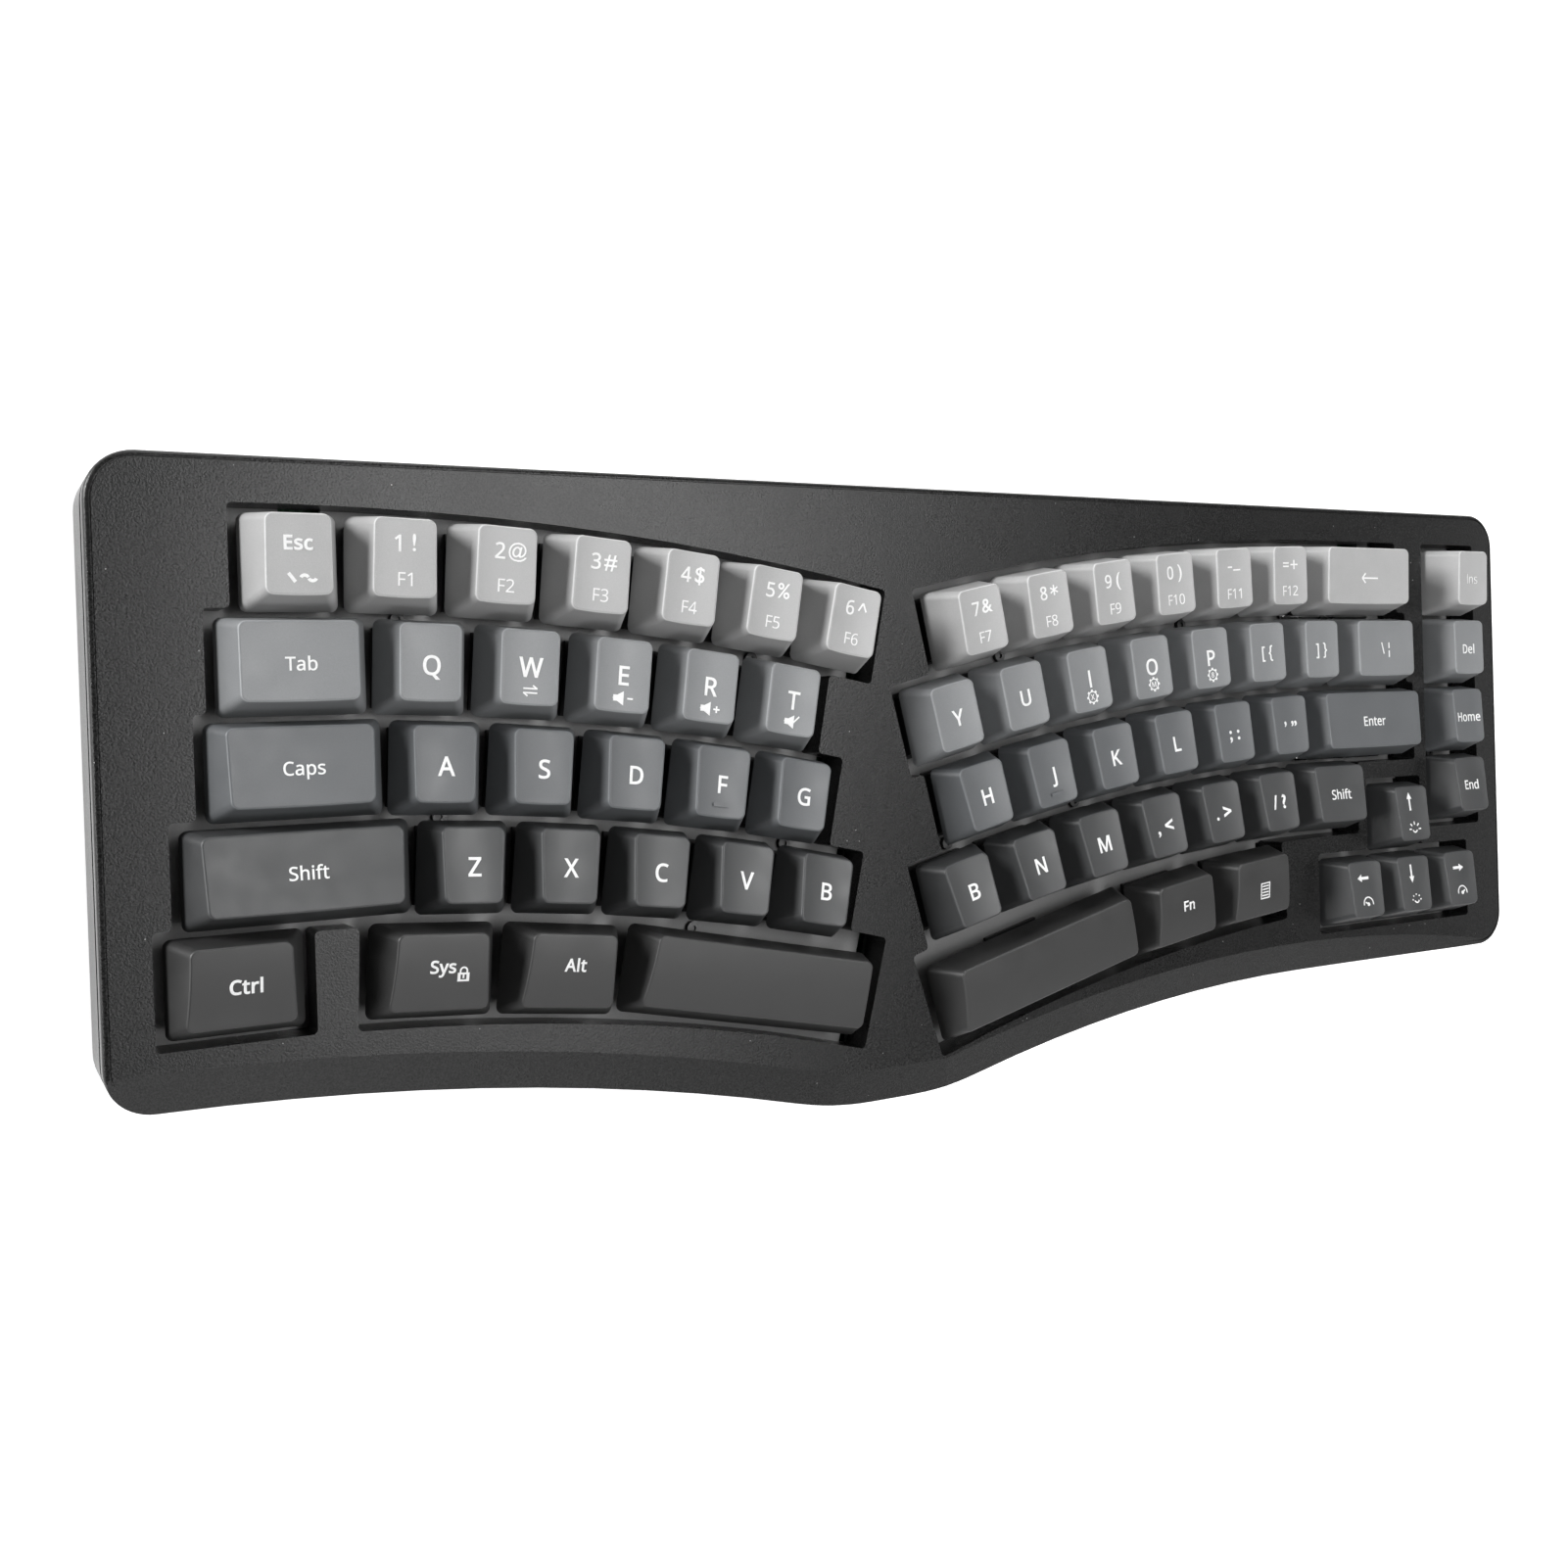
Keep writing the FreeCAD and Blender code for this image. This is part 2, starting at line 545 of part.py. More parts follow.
def column_well(names, margin, end_margin, bottom, height):
    """The space of keys that stand in straight columns and rows."""
    half_width = size("key_pitch") / 2 + end_margin
    half_depth = size("key_pitch") / 2 + margin
    pieces = []
    for name in names:
        middle = KEYS[name][0].Base
        corner = Vector(middle.x - half_width, middle.y - half_depth, bottom)
        pieces.append(Part.makeBox(2 * half_width, 2 * half_depth, height, corner))
    return pieces[0].multiFuse(pieces[1:]).removeSplitter()


def round_uprights(shape):
    """Rounds the upright edges of a well."""
    return shape.makeFillet(size("well_corner"), [edge for edge in shape.Edges if is_upright(edge)])


def wells(grow, bottom, height):
    """All wells, drawn out by grow, from bottom up by height."""
    margin = size("well_margin") + grow
    end_margin = size("well_end_margin") + grow
    inner_margin = size("well_inner_margin") + grow
    shapes = [
        half_well(1, margin, end_margin, inner_margin, bottom, height),
        half_well(-1, margin, end_margin, inner_margin, bottom, height),
        column_well(NAVIGATION, margin, end_margin, bottom, height),
        column_well(SHARED_NODES["keys_arrows"], margin, end_margin, bottom, height),
    ]
    return [round_uprights(shape) for shape in shapes]


# Screws

def case_boss_places():
    """Where the screws that hold the case together stand."""
    inset = size("boss_inset")
    side_x = size("case_width") / 2 - inset
    rear_y = level(REAR_Y) - inset
    left_y = level(ESC_Y) - size("front_left_y") + inset + size("front_corner_radius")
    right_y = level(ESC_Y) - size("front_right_y") + inset + size("front_corner_radius")
    quarter = size("case_width") / 4
    return [
        Vector(-side_x, rear_y - size("rear_corner_radius"), 0),
        Vector(-quarter, rear_y, 0),
        Vector(quarter, rear_y, 0),
        Vector(side_x, rear_y - size("rear_corner_radius"), 0),
        Vector(-side_x, left_y, 0),
        Vector(side_x, right_y, 0),
        Vector(level(NOSE_X), -level(REAR_Y) + 2 * inset, 0),
    ]


def plate_screw_places():
    """Where the screws that hold the plate stand."""
    places = [(KEYS[one][0].Base + KEYS[other][0].Base) * 0.5 for one, other in PLATE_SCREWS]
    return places + [key_place(size("thumb_screw_x"), -size("thumb_screw_y")).Base]


def columns(places, diameter, bottom, top):
    """Upright round columns at the given places."""
    return [Part.makeCylinder(diameter / 2, top - bottom, Vector(p.x, p.y, bottom), UP)
            for p in places]


CASE_BOSSES = case_boss_places()
PLATE_BOSSES = plate_screw_places()


# Top case

def make_top_case():
    """The face with its wells, its rounded rim, the sloping front lip and the collars."""
    shell = slab("shell", SEAM, FACE_TOP, "0")
    doc.recompute()
    face_top = level(FACE_TOP)
    rim = [(number, size("rim_radius")) for number, edge in enumerate(shell.Shape.Edges, start=1)
           if all(abs(v.Z - face_top) < 1e-6 for v in edge.Vertexes)]
    rounded = fillet("shell_rim", shell, rim)
    lips = []
    for side in ("left", "right"):
        x, y = arc_centre(side)
        radius = f"sizes.front_{side}_radius"
        lip = doc.addObject("Part::Cone", f"lip_{side}")
        bind(lip, Radius1=radius, Radius2=f"{radius} + sizes.lip_width", Height="sizes.lip_drop")
        lips.append(place(lip, x, y, f"{FACE_TOP} - sizes.lip_drop"))
    nose = doc.addObject("Part::Wedge", "lip_nose")
    left_end = f"{NOSE_X} - 2 * sizes.nose_flat"
    right_end = f"{NOSE_X} + 2 * sizes.nose_flat"
    bind(nose, Xmin=left_end, Xmax=right_end, X2min=left_end, X2max=right_end,
         Ymin=f"-{CASE_DEPTH} / 2", Ymax=f"-{CASE_DEPTH} / 2 + sizes.lip_width",
         Zmin=f"{FACE_TOP} - sizes.lip_drop", Zmax=FACE_TOP, Z2min=FACE_TOP, Z2max=FACE_TOP)
    lips.append(nose)
    groove_bottom = f"({FACE_TOP} - sizes.groove_depth)"
    groove_top = f"({FACE_TOP} + {OVERSHOOT})"
    groove = cut("groove", slab("groove_outside", groove_bottom, groove_top, "sizes.groove_from_edge"),
                 slab("groove_inside", groove_bottom, groove_top,
                      "sizes.groove_from_edge + sizes.groove_width"))
    cavity = slab("shell_cavity", f"({SEAM} - {OVERSHOOT})", FACE_BOTTOM, "sizes.case_wall",
                  "sizes.case_wall + sizes.lip_width")
    hollow = cut("shell_hollow", cut("shell_lipped", rounded, fuse("lips", lips + [groove])), cavity)
    collar_bottom = level(COLLAR_BOTTOM)
    face_bottom = level(FACE_BOTTOM)
    wall = size("collar_wall")
    collars = [feature(f"collar_{number}", shape) for number, shape
               in enumerate(wells(wall, collar_bottom, face_bottom - collar_bottom + OVERLAP))]
    meeting = level(BOSS_MEETING)
    bosses = [feature(f"face_boss_{number}", shape) for number, shape in enumerate(
        columns(CASE_BOSSES, size("boss_diameter"), meeting, face_bottom + OVERLAP))]
    walled = fuse("shell_with_collars", [hollow] + collars + bosses)
    opening_bottom = collar_bottom - OVERSHOOT
    openings = [feature(f"well_{number}", shape) for number, shape
                in enumerate(wells(0.0, opening_bottom, face_top + OVERSHOOT - opening_bottom))]
    threads = [feature(f"face_thread_{number}", shape) for number, shape in enumerate(
        columns(CASE_BOSSES, size("screw_hole"), meeting - OVERSHOOT, face_bottom))]
    return cut("top_case", walled, fuse("face_openings", openings + threads))


# Bottom case

def pad_places():
    """The middles of the rubber feet."""
    side_x = size("case_width") / 2 - size("pad_from_side")
    rear_y = level(REAR_Y) - size("pad_from_rear")
    front_y = size("pad_from_front") - level(REAR_Y)
    nose_y = size("pad_from_nose") - level(REAR_Y)
    return [(-side_x, rear_y), (side_x, rear_y), (-side_x, front_y), (side_x, front_y),
            (level(NOSE_X), nose_y)]


def foot_hinges():
    """The middles of the hinges of the fold-out feet."""
    side_x = size("case_width") / 2 - size("foot_from_side")
    hinge_y = level(REAR_Y) - size("foot_from_rear")
    hinge_z = level(CASE_BOTTOM) + size("foot_sink") + size("foot_thickness") / 2
    return {"left": Vector(-side_x, hinge_y, hinge_z), "right": Vector(side_x, hinge_y, hinge_z)}


def foot_recess(hinge, grow, top):
    """The space around a folded foot, drawn out by grow, up to the given height."""
    margin = size("foot_clearance") + grow
    width = size("foot_width") + 2 * margin
    rear = hinge.y + size("foot_thickness") / 2 + margin
    front = hinge.y - size("foot_length") - margin
    bottom = level(CASE_BOTTOM) if grow else level(CASE_BOTTOM) - OVERSHOOT
    return Part.makeBox(width, rear - front, top - bottom, Vector(hinge.x - width / 2, front, bottom))


def make_bottom_case():
    """The tray with its seam ledge, bosses, port opening and the recesses of the feet."""
    tray = slab("tray", CASE_BOTTOM, f"({SEAM} - sizes.seam_gap)", "0")
    doc.recompute()
    bottom = level(CASE_BOTTOM)
    chamfer = doc.addObject("Part::Chamfer", "tray_chamfer")
    chamfer.Base = tray
    width = size("bottom_chamfer")
    chamfer.Edges = [(number, width, width) for number, edge in enumerate(tray.Shape.Edges, start=1)
                     if all(abs(v.Z - bottom) < 1e-6 for v in edge.Vertexes)]
    ledge = slab("ledge", FLOOR_TOP, SEAM, "sizes.seam_inset")
    cavity = slab("tray_cavity", FLOOR_TOP, f"({SEAM} + {OVERSHOOT})", "sizes.case_wall")
    shell = cut("tray_shell", fuse("tray_block", [chamfer, ledge]), cavity)

    floor = level(FLOOR_TOP)
    ceiling = bottom + size("foot_sink") + size("foot_thickness") + size("foot_clearance")
    hinges = foot_hinges().values()
    inside = [feature(f"case_boss_{number}", shape) for number, shape in enumerate(
        columns(CASE_BOSSES, size("boss_diameter"), floor, level(BOSS_MEETING)))]
    inside += [feature(f"plate_boss_{number}", shape) for number, shape in enumerate(
        columns(PLATE_BOSSES, size("boss_diameter"), floor, level(PLATE_BOTTOM)))]
    inside += [feature(f"foot_housing_{number}", foot_recess(
        hinge, size("foot_housing_wall"), ceiling + size("foot_roof")))
        for number, hinge in enumerate(hinges)]
    filled = fuse("tray_filled", [shell] + inside)

    head_top = bottom + size("screw_sink") + size("screw_head_height")
    below = bottom - OVERSHOOT
    openings = columns(CASE_BOSSES, size("screw_recess"), below, head_top)
    openings += columns(CASE_BOSSES, size("screw_hole"), bottom, level(BOSS_MEETING) + OVERSHOOT)
    openings += columns(PLATE_BOSSES, size("screw_hole"), floor, level(PLATE_BOTTOM) + OVERSHOOT)
    for x, y in pad_places():
        corner = Vector(x - size("pad_length") / 2, y - size("pad_depth") / 2, below)
        openings.append(Part.makeBox(size("pad_length"), size("pad_depth"),
                                     size("pad_recess") + OVERSHOOT, corner))
    for hinge in hinges:
        openings.append(foot_recess(hinge, 0.0, ceiling))
        pin_hole = size("foot_width") + 2 * (size("foot_clearance") + size("pin_length"))
        start = Vector(hinge.x - pin_hole / 2, hinge.y, hinge.z)
        openings.append(Part.makeCylinder(size("pin_diameter") / 2 + size("pin_clearance"), pin_hole,
                                          start, RIGHT))
        tip = hinge.y - size("foot_length") - size("scoop_length")
        corner = Vector(hinge.x - size("scoop_width") / 2, tip, below)
        openings.append(Part.makeBox(size("scoop_width"), size("scoop_length"),
                                     size("scoop_depth") + OVERSHOOT, corner))
    openings.append(port_block(size("port_clearance"), size("case_wall") + OVERSHOOT, OVERSHOOT))
    tools = [feature(f"tray_opening_{number}", shape) for number, shape in enumerate(openings)]
    return cut("bottom_case", filled, fuse("tray_openings", tools))


# Cable port

def port_block(grow, length, overhang):
    """The rounded outline of the port, drawn out by grow, from the rear wall forwards."""
    width = size("port_width") + 2 * grow
    height = size("port_height") + 2 * grow
    middle_x = level(ESC_X) + size("port_x")
    rear = level(REAR_Y) + overhang
    corner = Vector(middle_x - width / 2, rear - length - overhang, level(BOARD_TOP) - grow)
    block = Part.makeBox(width, length + overhang, height, corner)
    along = [edge for edge in block.Edges
             if abs(edge.Vertexes[0].Point.y - edge.Vertexes[1].Point.y) > length / 2]
    return block.makeFillet(size("port_rounding") + grow, along)


def make_usb_port():
    """The metal shell of the cable port with its contact tongue."""
    length = size("port_recess") + size("port_length")
    shell = port_block(0.0, length, -size("port_recess"))
    wall = size("port_wall")
    rear = level(REAR_Y)
    bore = port_block(-wall, length - wall, OVERSHOOT)
    middle_x = level(ESC_X) + size("port_x")
    tongue = Part.makeBox(
        size("port_tongue_width"), size("port_tongue_length") + wall, size("port_tongue_height"),
        Vector(middle_x - size("port_tongue_width") / 2, rear - length,
               level(BOARD_TOP) + (size("port_height") - size("port_tongue_height")) / 2))
    return feature("usb_port", shell.cut(bore).fuse(tongue))


# Feet

def make_rubber_feet():
    """The rubber pads that the case stands on."""
    height = size("pad_recess") + size("foot_drop")
    pads = []
    for x, y in pad_places():
        corner = Vector(x - size("pad_length") / 2, y - size("pad_depth") / 2, 0)
        pad = Part.makeBox(size("pad_length"), size("pad_depth"), height, corner)
        pads.append(pad.makeFillet(size("pad_rounding"),
                                   [edge for edge in pad.Edges if is_upright(edge)]))
    return feature("rubber_feet", Part.makeCompound(pads))


def make_tilt_foot(side):
    """A fold-out foot, folded, with its two hinge pins."""
    hinge = foot_hinges()[side]
    width = size("foot_width")
    radius = size("foot_thickness") / 2
    left = hinge.x - width / 2
    blade = Part.makeBox(width, size("foot_length"), 2 * radius,
                         Vector(left, hinge.y - size("foot_length"), hinge.z - radius))
    heel = Part.makeCylinder(radius, width, Vector(left, hinge.y, hinge.z), RIGHT)
    pin_length = width + 2 * size("pin_length")
    pin = Part.makeCylinder(size("pin_diameter") / 2, pin_length,
                            Vector(hinge.x - pin_length / 2, hinge.y, hinge.z), RIGHT)
    foot = blade.multiFuse([heel, pin]).removeSplitter()
    return feature(f"tilt_foot_{side}", foot)


# Plate, board and foam

def row_end_gaps(bottom, height):
    """What the plate leaves open past the inner ends of the rows and on the right of the keys."""
    past = size("plate_past_keys")
    margin = size("well_margin")
    web = margin + size("plate_web")
    side_reach = size("well_end_margin") + size("plate_gap_reach")
    inner_reach = size("well_inner_margin") + size("plate_gap_reach")
    whole_left = half_well(1, margin, past, inner_reach, bottom, height)
    whole_right = half_well(-1, margin, side_reach, inner_reach, bottom, height)
    gaps = [whole_left.cut(half_well(1, web, side_reach, past, bottom, height)),
            whole_right.cut(half_well(-1, web, past, past, bottom, height))]
    half = size("key_pitch") / 2
    for name in NAVIGATION + ["arrow_up", "arrow_right"]:
        middle = KEYS[name][0].Base
        corner = Vector(middle.x + half + past, middle.y - half, bottom)
        gaps.append(Part.makeBox(side_reach - past, 2 * half, height, corner))
    return gaps[0].multiFuse(gaps[1:])


def rear_slots(bottom, height):
    """The slots in the plate behind the escape and backspace keys."""
    slots = []
    for name in ("escape", "backspace"):
        step = Vector(size(f"slot_from_{name}"), size("slot_from_row"), 0)
        middle = Placement(KEYS[name][0].Base + step, Rotation())
        slots.append(square_at(middle, size("slot_width"), size("slot_depth"), bottom, height))
    return slots


def make_switch_plate():
    """The plate with a square hole for each switch."""
    plate = slab("plate_blank", PLATE_BOTTOM, PLATE_TOP, "sizes.plate_inset")
    bottom = level(PLATE_BOTTOM) - OVERSHOOT
    height = size("plate_thickness") + 2 * OVERSHOOT
    holes = [square_at(KEYS[name][0], size("switch_hole"), size("switch_hole"), bottom, height)
             for name in KEYS]
    width = size("stabiliser_width") - 2 * size("stabiliser_step") + 2 * size("stabiliser_fit")
    depth = size("stabiliser_depth") - 2 * size("stabiliser_step") + 2 * size("stabiliser_fit")
    holes += [square_at(middle, width, depth, bottom, height) for middle in stabiliser_places()]
    holes += columns(PLATE_BOSSES, size("screw_hole"), bottom, bottom + height)
    holes += columns(CASE_BOSSES, size("boss_diameter") + 2 * size("boss_clearance"), bottom,
                     bottom + height)
    drilled = cut("plate_drilled", plate, feature("plate_holes", Part.makeCompound(holes)))
    openings = row_end_gaps(bottom, height).multiFuse(rear_slots(bottom, height))
    return cut("switch_plate", drilled, feature("plate_openings", openings))


def square_at(middle, width, depth, bottom, height):
    """An upright block, turned as the key at that place is."""
    block = Part.makeBox(width, depth, height, Vector(-width / 2, -depth / 2, bottom))
    block.Placement = middle
    return block


def stabiliser_places():
    """The places of the two stabilisers of each wide key."""
    places = []
    for name, reach in STABILISED.items():
        for side in (-1, 1):
            step = Placement(Vector(side * size(reach), 0, 0), Rotation())
            places.append(KEYS[name][0].multiply(step))
    return places


def make_circuit_board():
    """The circuit board with its controller chip."""
    board = slab("board_blank", BOARD_BOTTOM, BOARD_TOP, "sizes.board_inset")
    bottom = level(BOARD_BOTTOM) - OVERSHOOT
    top = level(BOARD_TOP) + OVERSHOOT
    holes = columns(CASE_BOSSES + PLATE_BOSSES, size("boss_diameter") + 2 * size("boss_clearance"),
                    bottom, top)
    drilled = cut("board_drilled", board, feature("board_holes", Part.makeCompound(holes)))
    chip = box("chip", "sizes.chip_size", "sizes.chip_size", "sizes.chip_height",
               f"({ESC_X} + sizes.chip_x)", f"({ESC_Y} + sizes.chip_y)", BOARD_TOP)
    return fuse("circuit_board", [drilled, chip])


def make_sound_foam():
    """The foam sheet on the floor, open around the bosses and the feet's recesses."""
    sheet_block = slab("foam_blank", FLOOR_TOP, f"({FLOOR_TOP} + sizes.foam_thickness)",
                       "sizes.foam_inset", rounded=False)
    bottom = level(FLOOR_TOP) - OVERSHOOT
    top = level(FLOOR_TOP) + size("foam_thickness") + OVERSHOOT
    holes = columns(CASE_BOSSES + PLATE_BOSSES, size("boss_diameter") + 2 * size("boss_clearance"),
                    bottom, top)
    gap = size("foot_housing_wall") + size("boss_clearance")
    holes += [foot_recess(hinge, gap, top) for hinge in foot_hinges().values()]
    return cut("sound_foam", sheet_block, feature("foam_holes", Part.makeCompound(holes)))


# Switches and stabilisers

def make_switch_housings():
    """The fixed housings of all switches."""
    board_top = level(BOARD_TOP)
    plate_top = level(PLATE_TOP)
    body = size("switch_body")
    lower = Part.makeBox(body, body, plate_top - board_top, Vector(-body / 2, -body / 2, board_top))
    flange = size("switch_flange")
    rim = Part.makeBox(flange, flange, size("switch_flange_height"),
                       Vector(-flange / 2, -flange / 2, plate_top))
    shoulder = plate_top + size("switch_flange_height")
    upper = frustum(body, body, size("switch_top_width"), size("switch_top_depth"),
                    level(SWITCH_TOP) - shoulder)
    upper.translate(Vector(0, 0, shoulder))
    shaft_width = size("slider_width") + 2 * size("slider_clearance")
    shaft_depth = size("slider_depth") + 2 * size("slider_clearance")
    shaft_height = level(SWITCH_TOP) + OVERSHOOT - level(SWITCH_FLOOR)
    shaft = Part.makeBox(shaft_width, shaft_depth, shaft_height,
                         Vector(-shaft_width / 2, -shaft_depth / 2, level(SWITCH_FLOOR)))
    housing = lower.multiFuse([rim, upper]).cut(shaft)
    return feature("switch_housings", Part.makeCompound(
        [at_place(housing, middle) for middle, _, _ in KEYS.values()]))


def frustum(width, depth, top_width, top_depth, height, shift=0.0):
    """A block that narrows upwards; its top face is moved back by shift."""
    bottom = [Vector(x * width / 2, y * depth / 2, 0) for x, y in CORNERS]
    top = [Vector(x * top_width / 2, y * top_depth / 2 + shift, height) for x, y in CORNERS]
    wires = [Part.makePolygon(corners + corners[:1]) for corners in (bottom, top)]
    return Part.makeLoft(wires, True, True)


CORNERS = [(-1, -1), (1, -1), (1, 1), (-1, 1)]


def at_place(shape, middle):
    copy = shape.copy()
    copy.Placement = middle
    return copy


def make_switch_springs():
    """The springs, as sleeves at the length that they have when their keys are down."""
    bottom = level(SWITCH_FLOOR)
    height = spring_length()
    sleeve = Part.makeCylinder(size("spring_diameter") / 2, height, Vector(0, 0, bottom), UP)
    sleeve = sleeve.cut(Part.makeCylinder(size("spring_bore") / 2, height, Vector(0, 0, bottom), UP))
    return feature("switch_springs", Part.makeCompound(
        [at_place(sleeve, middle) for middle, _, _ in KEYS.values()]))


def slider_bottom():
    """The foot of the sliders of keys that are up."""
    return level(SWITCH_FLOOR) + size("slider_clearance") + size("key_travel")


def slider_bore_height():
    """The depth of the spring's bore in a slider, from below."""
    return level(SWITCH_TOP) - slider_bottom() - size("slider_roof")


def spring_length():
    """The length of a spring under a key that is down."""
    return slider_bore_height() + size("slider_clearance") - size("spring_clearance")


def make_stabiliser_housings():
    """The fixed housings beside the switches of wide keys."""
    step = size("stabiliser_step")
    width = size("stabiliser_width")
    depth = size("stabiliser_depth")
    board_top = level(BOARD_TOP)
    plate_top = level(PLATE_TOP)
    lower = Part.makeBox(width - 2 * step, depth - 2 * step, plate_top - board_top,
                         Vector(step - width / 2, step - depth / 2, board_top))
    upper = Part.makeBox(width, depth, size("stabiliser_height"),
                         Vector(-width / 2, -depth / 2, plate_top))
    shaft = size("stabiliser_slider") + 2 * size("slider_clearance")
    depth_of_well = plate_top + size("stabiliser_height") + OVERSHOOT - level(SWITCH_FLOOR)
    well = Part.makeBox(shaft, shaft, depth_of_well,
                        Vector(-shaft / 2, -shaft / 2, level(SWITCH_FLOOR)))
    housing = lower.fuse(upper).cut(well)
    return feature("stabiliser_housings", Part.makeCompound(
        [at_place(housing, middle) for middle in stabiliser_places()]))


def make_stabiliser_wires():
    """The wires that join the two stabilisers of each wide key."""
    radius = size("wire_diameter") / 2
    z = level(PLATE_TOP) + size("wire_lift") + radius
    bars = []
    for name, reach_name in STABILISED.items():
        reach = size(reach_name) + size("stabiliser_width") / 2 + size("wire_lift") + radius
        y = -size("wire_forward")
        bar = Part.makeCylinder(radius, 2 * reach, Vector(-reach, y, z), RIGHT)
        legs = []
        for side in (-1, 1):
            legs.append(Part.makeCylinder(radius, size("wire_leg"), Vector(side * reach, y, z), BACK))
            legs.append(Part.makeSphere(radius, Vector(side * reach, y, z)))
        bars.append(at_place(bar.multiFuse(legs), KEYS[name][0]))
    return feature("stabiliser_wires", Part.makeCompound(bars))


# Screws

def make_screws():
    """The screws that hold the case together and those that hold the plate."""
    bottom = level(CASE_BOTTOM) + size("screw_sink")
    screws = []
    for place_on in CASE_BOSSES:
        length = level(BOSS_MEETING) + size("screw_reach") - bottom
        screws.append(screw_at(Vector(place_on.x, place_on.y, bottom), UP, length))
    top = level(PLATE_TOP) + size("screw_head_height")
    for place_on in PLATE_BOSSES:
        length = size("screw_head_height") + size("plate_thickness") + size("plate_screw_reach")
        screws.append(screw_at(Vector(place_on.x, place_on.y, top), UP * -1, length))
    return feature("screws", Part.makeCompound(screws))


def screw_at(head_end, direction, length):
    """A screw from the outer face of its head along its shank."""
    head = Part.makeCylinder(size("screw_head") / 2, size("screw_head_height"), head_end, direction)
    shank = Part.makeCylinder(size("screw_shank") / 2, length, head_end, direction)
    socket = Part.makeCylinder(size("screw_socket") / 2, size("screw_socket_depth"), head_end,
                               direction)
    return head.fuse(shank).cut(socket)


# Keycaps

def make_cap(units, row, homing=False):
    """A keycap with its skirt on z = 0: a tapered shell, a hollow or rounded top, a post."""
    label = f"cap_{row + 1}_{str(units).replace('.', '_')}{'_homing' if homing else ''}"
    pitch = size("key_pitch")
    wall = size("cap_wall")
    width = units * pitch - size("cap_gap")
    depth = pitch - size("cap_gap")
    top_width = (units - 1) * pitch + size("cap_top_width")
    top_depth = size("cap_top_depth")
    height = size(f"cap_height_{row + 1}")
    tilt = size(f"cap_tilt_{row + 1}")
    shift = size("cap_top_shift")
    blank = 1 + size("cap_blank") / height
    body = frustum(width, depth, width - (width - top_width) * blank,
                   depth - (depth - top_depth) * blank, height * blank, shift * blank)
    flanks = [edge for edge in body.Edges
              if abs(edge.Vertexes[0].Point.z - edge.Vertexes[1].Point.z) > height]
    body = body.makeFillet(size("cap_corner"), flanks)

    turn = Rotation(RIGHT, tilt)
    top_middle = Vector(0, shift, height)
    if row == THUMB_ROW:
        crown = size("cap_crown")
        radius = top_depth ** 2 / (8 * crown) + crown / 2
        centre = top_middle - turn.multVec(UP) * (radius - crown)
        drum = Part.makeCylinder(radius, width + 2 * OVERSHOOT,
                                 centre - RIGHT * (width / 2 + OVERSHOOT), RIGHT)
        body = body.common(drum)
        lowest = height - abs(math.sin(math.radians(tilt))) * top_depth / 2
    else:
        dish = size("cap_dish")
        radius = top_width ** 2 / (8 * dish) + dish / 2
        reach = 2 * depth
        centre = top_middle + turn.multVec(UP) * (radius - dish) - turn.multVec(BACK) * reach / 2
        body = body.cut(Part.makeCylinder(radius, reach, centre, turn.multVec(BACK)))
        lowest = height - dish - abs(math.sin(math.radians(tilt))) * top_depth / 2
    rim = max(body.Faces, key=lambda face: face.CenterOfMass.z).Edges
    body = body.makeFillet(size("cap_edge"), rim)

    ceiling = lowest - size("cap_roof")
    share = ceiling / height
    inner_width = width - 2 * wall
    inner_depth = depth - 2 * wall
    hollow = frustum(inner_width, inner_depth, inner_width - (width - top_width) * share,
                     inner_depth - (depth - top_depth) * share, ceiling, shift * share)
    posts = [cap_post(0.0, ceiling)]
    reach_name = next((reach for name, reach in STABILISED.items()
                       if KEYS[name][1:] == (units, row)), None)
    if reach_name:
        posts += [cap_post(side * size(reach_name), ceiling) for side in (-1, 1)]
    body = body.cut(hollow).multiFuse(posts)
    socket_height = size("cross_height") - size("switch_below_cap") + size("cross_fit")
    body = body.cut(cross(size("cross_length") + 2 * size("cross_fit"),
                          size("cross_thickness") + 2 * size("cross_fit"), 0.0, socket_height))
    if homing:
        front = shift - top_depth / 2 + size("homing_bar_from_front")
        foot = -size("cap_dish") - OVERSHOOT
        bar = Part.makeBox(size("homing_bar_width"), size("homing_bar_depth"),
                           size("homing_bar_height") + OVERSHOOT,
                           Vector(-size("homing_bar_width") / 2, front - shift, foot))
        bar.Placement = Placement(top_middle, turn)
        body = body.fuse(bar)
    return feature(label, body)


def cap_post(x, ceiling):
    lift = size("post_lift")
    return Part.makeCylinder(size("post_diameter") / 2, ceiling - lift + OVERLAP,
                             Vector(x, 0, lift), UP)


def cross(length, thickness, bottom, height):
    """A plus-shaped post."""
    arms = [Part.makeBox(a, b, height, Vector(-a / 2, -b / 2, bottom))
            for a, b in ((length, thickness), (thickness, length))]
    return arms[0].fuse(arms[1])


def make_stem():
    """The slider of a switch with the cross that its cap sits on, with the skirt on z = 0."""
    skirt = level(CAP_BOTTOM)
    bottom = slider_bottom() - skirt
    top = -size("switch_below_cap")
    width = size("slider_width")
    depth = size("slider_depth")
    slider = Part.makeBox(width, depth, top - bottom, Vector(-width / 2, -depth / 2, bottom))
    post = cross(size("cross_length"), size("cross_thickness"), top, size("cross_height"))
    bore = Part.makeCylinder(size("spring_diameter") / 2 + size("spring_clearance"),
                             slider_bore_height(), Vector(0, 0, bottom), UP)
    return feature("stem", slider.fuse(post).cut(bore))


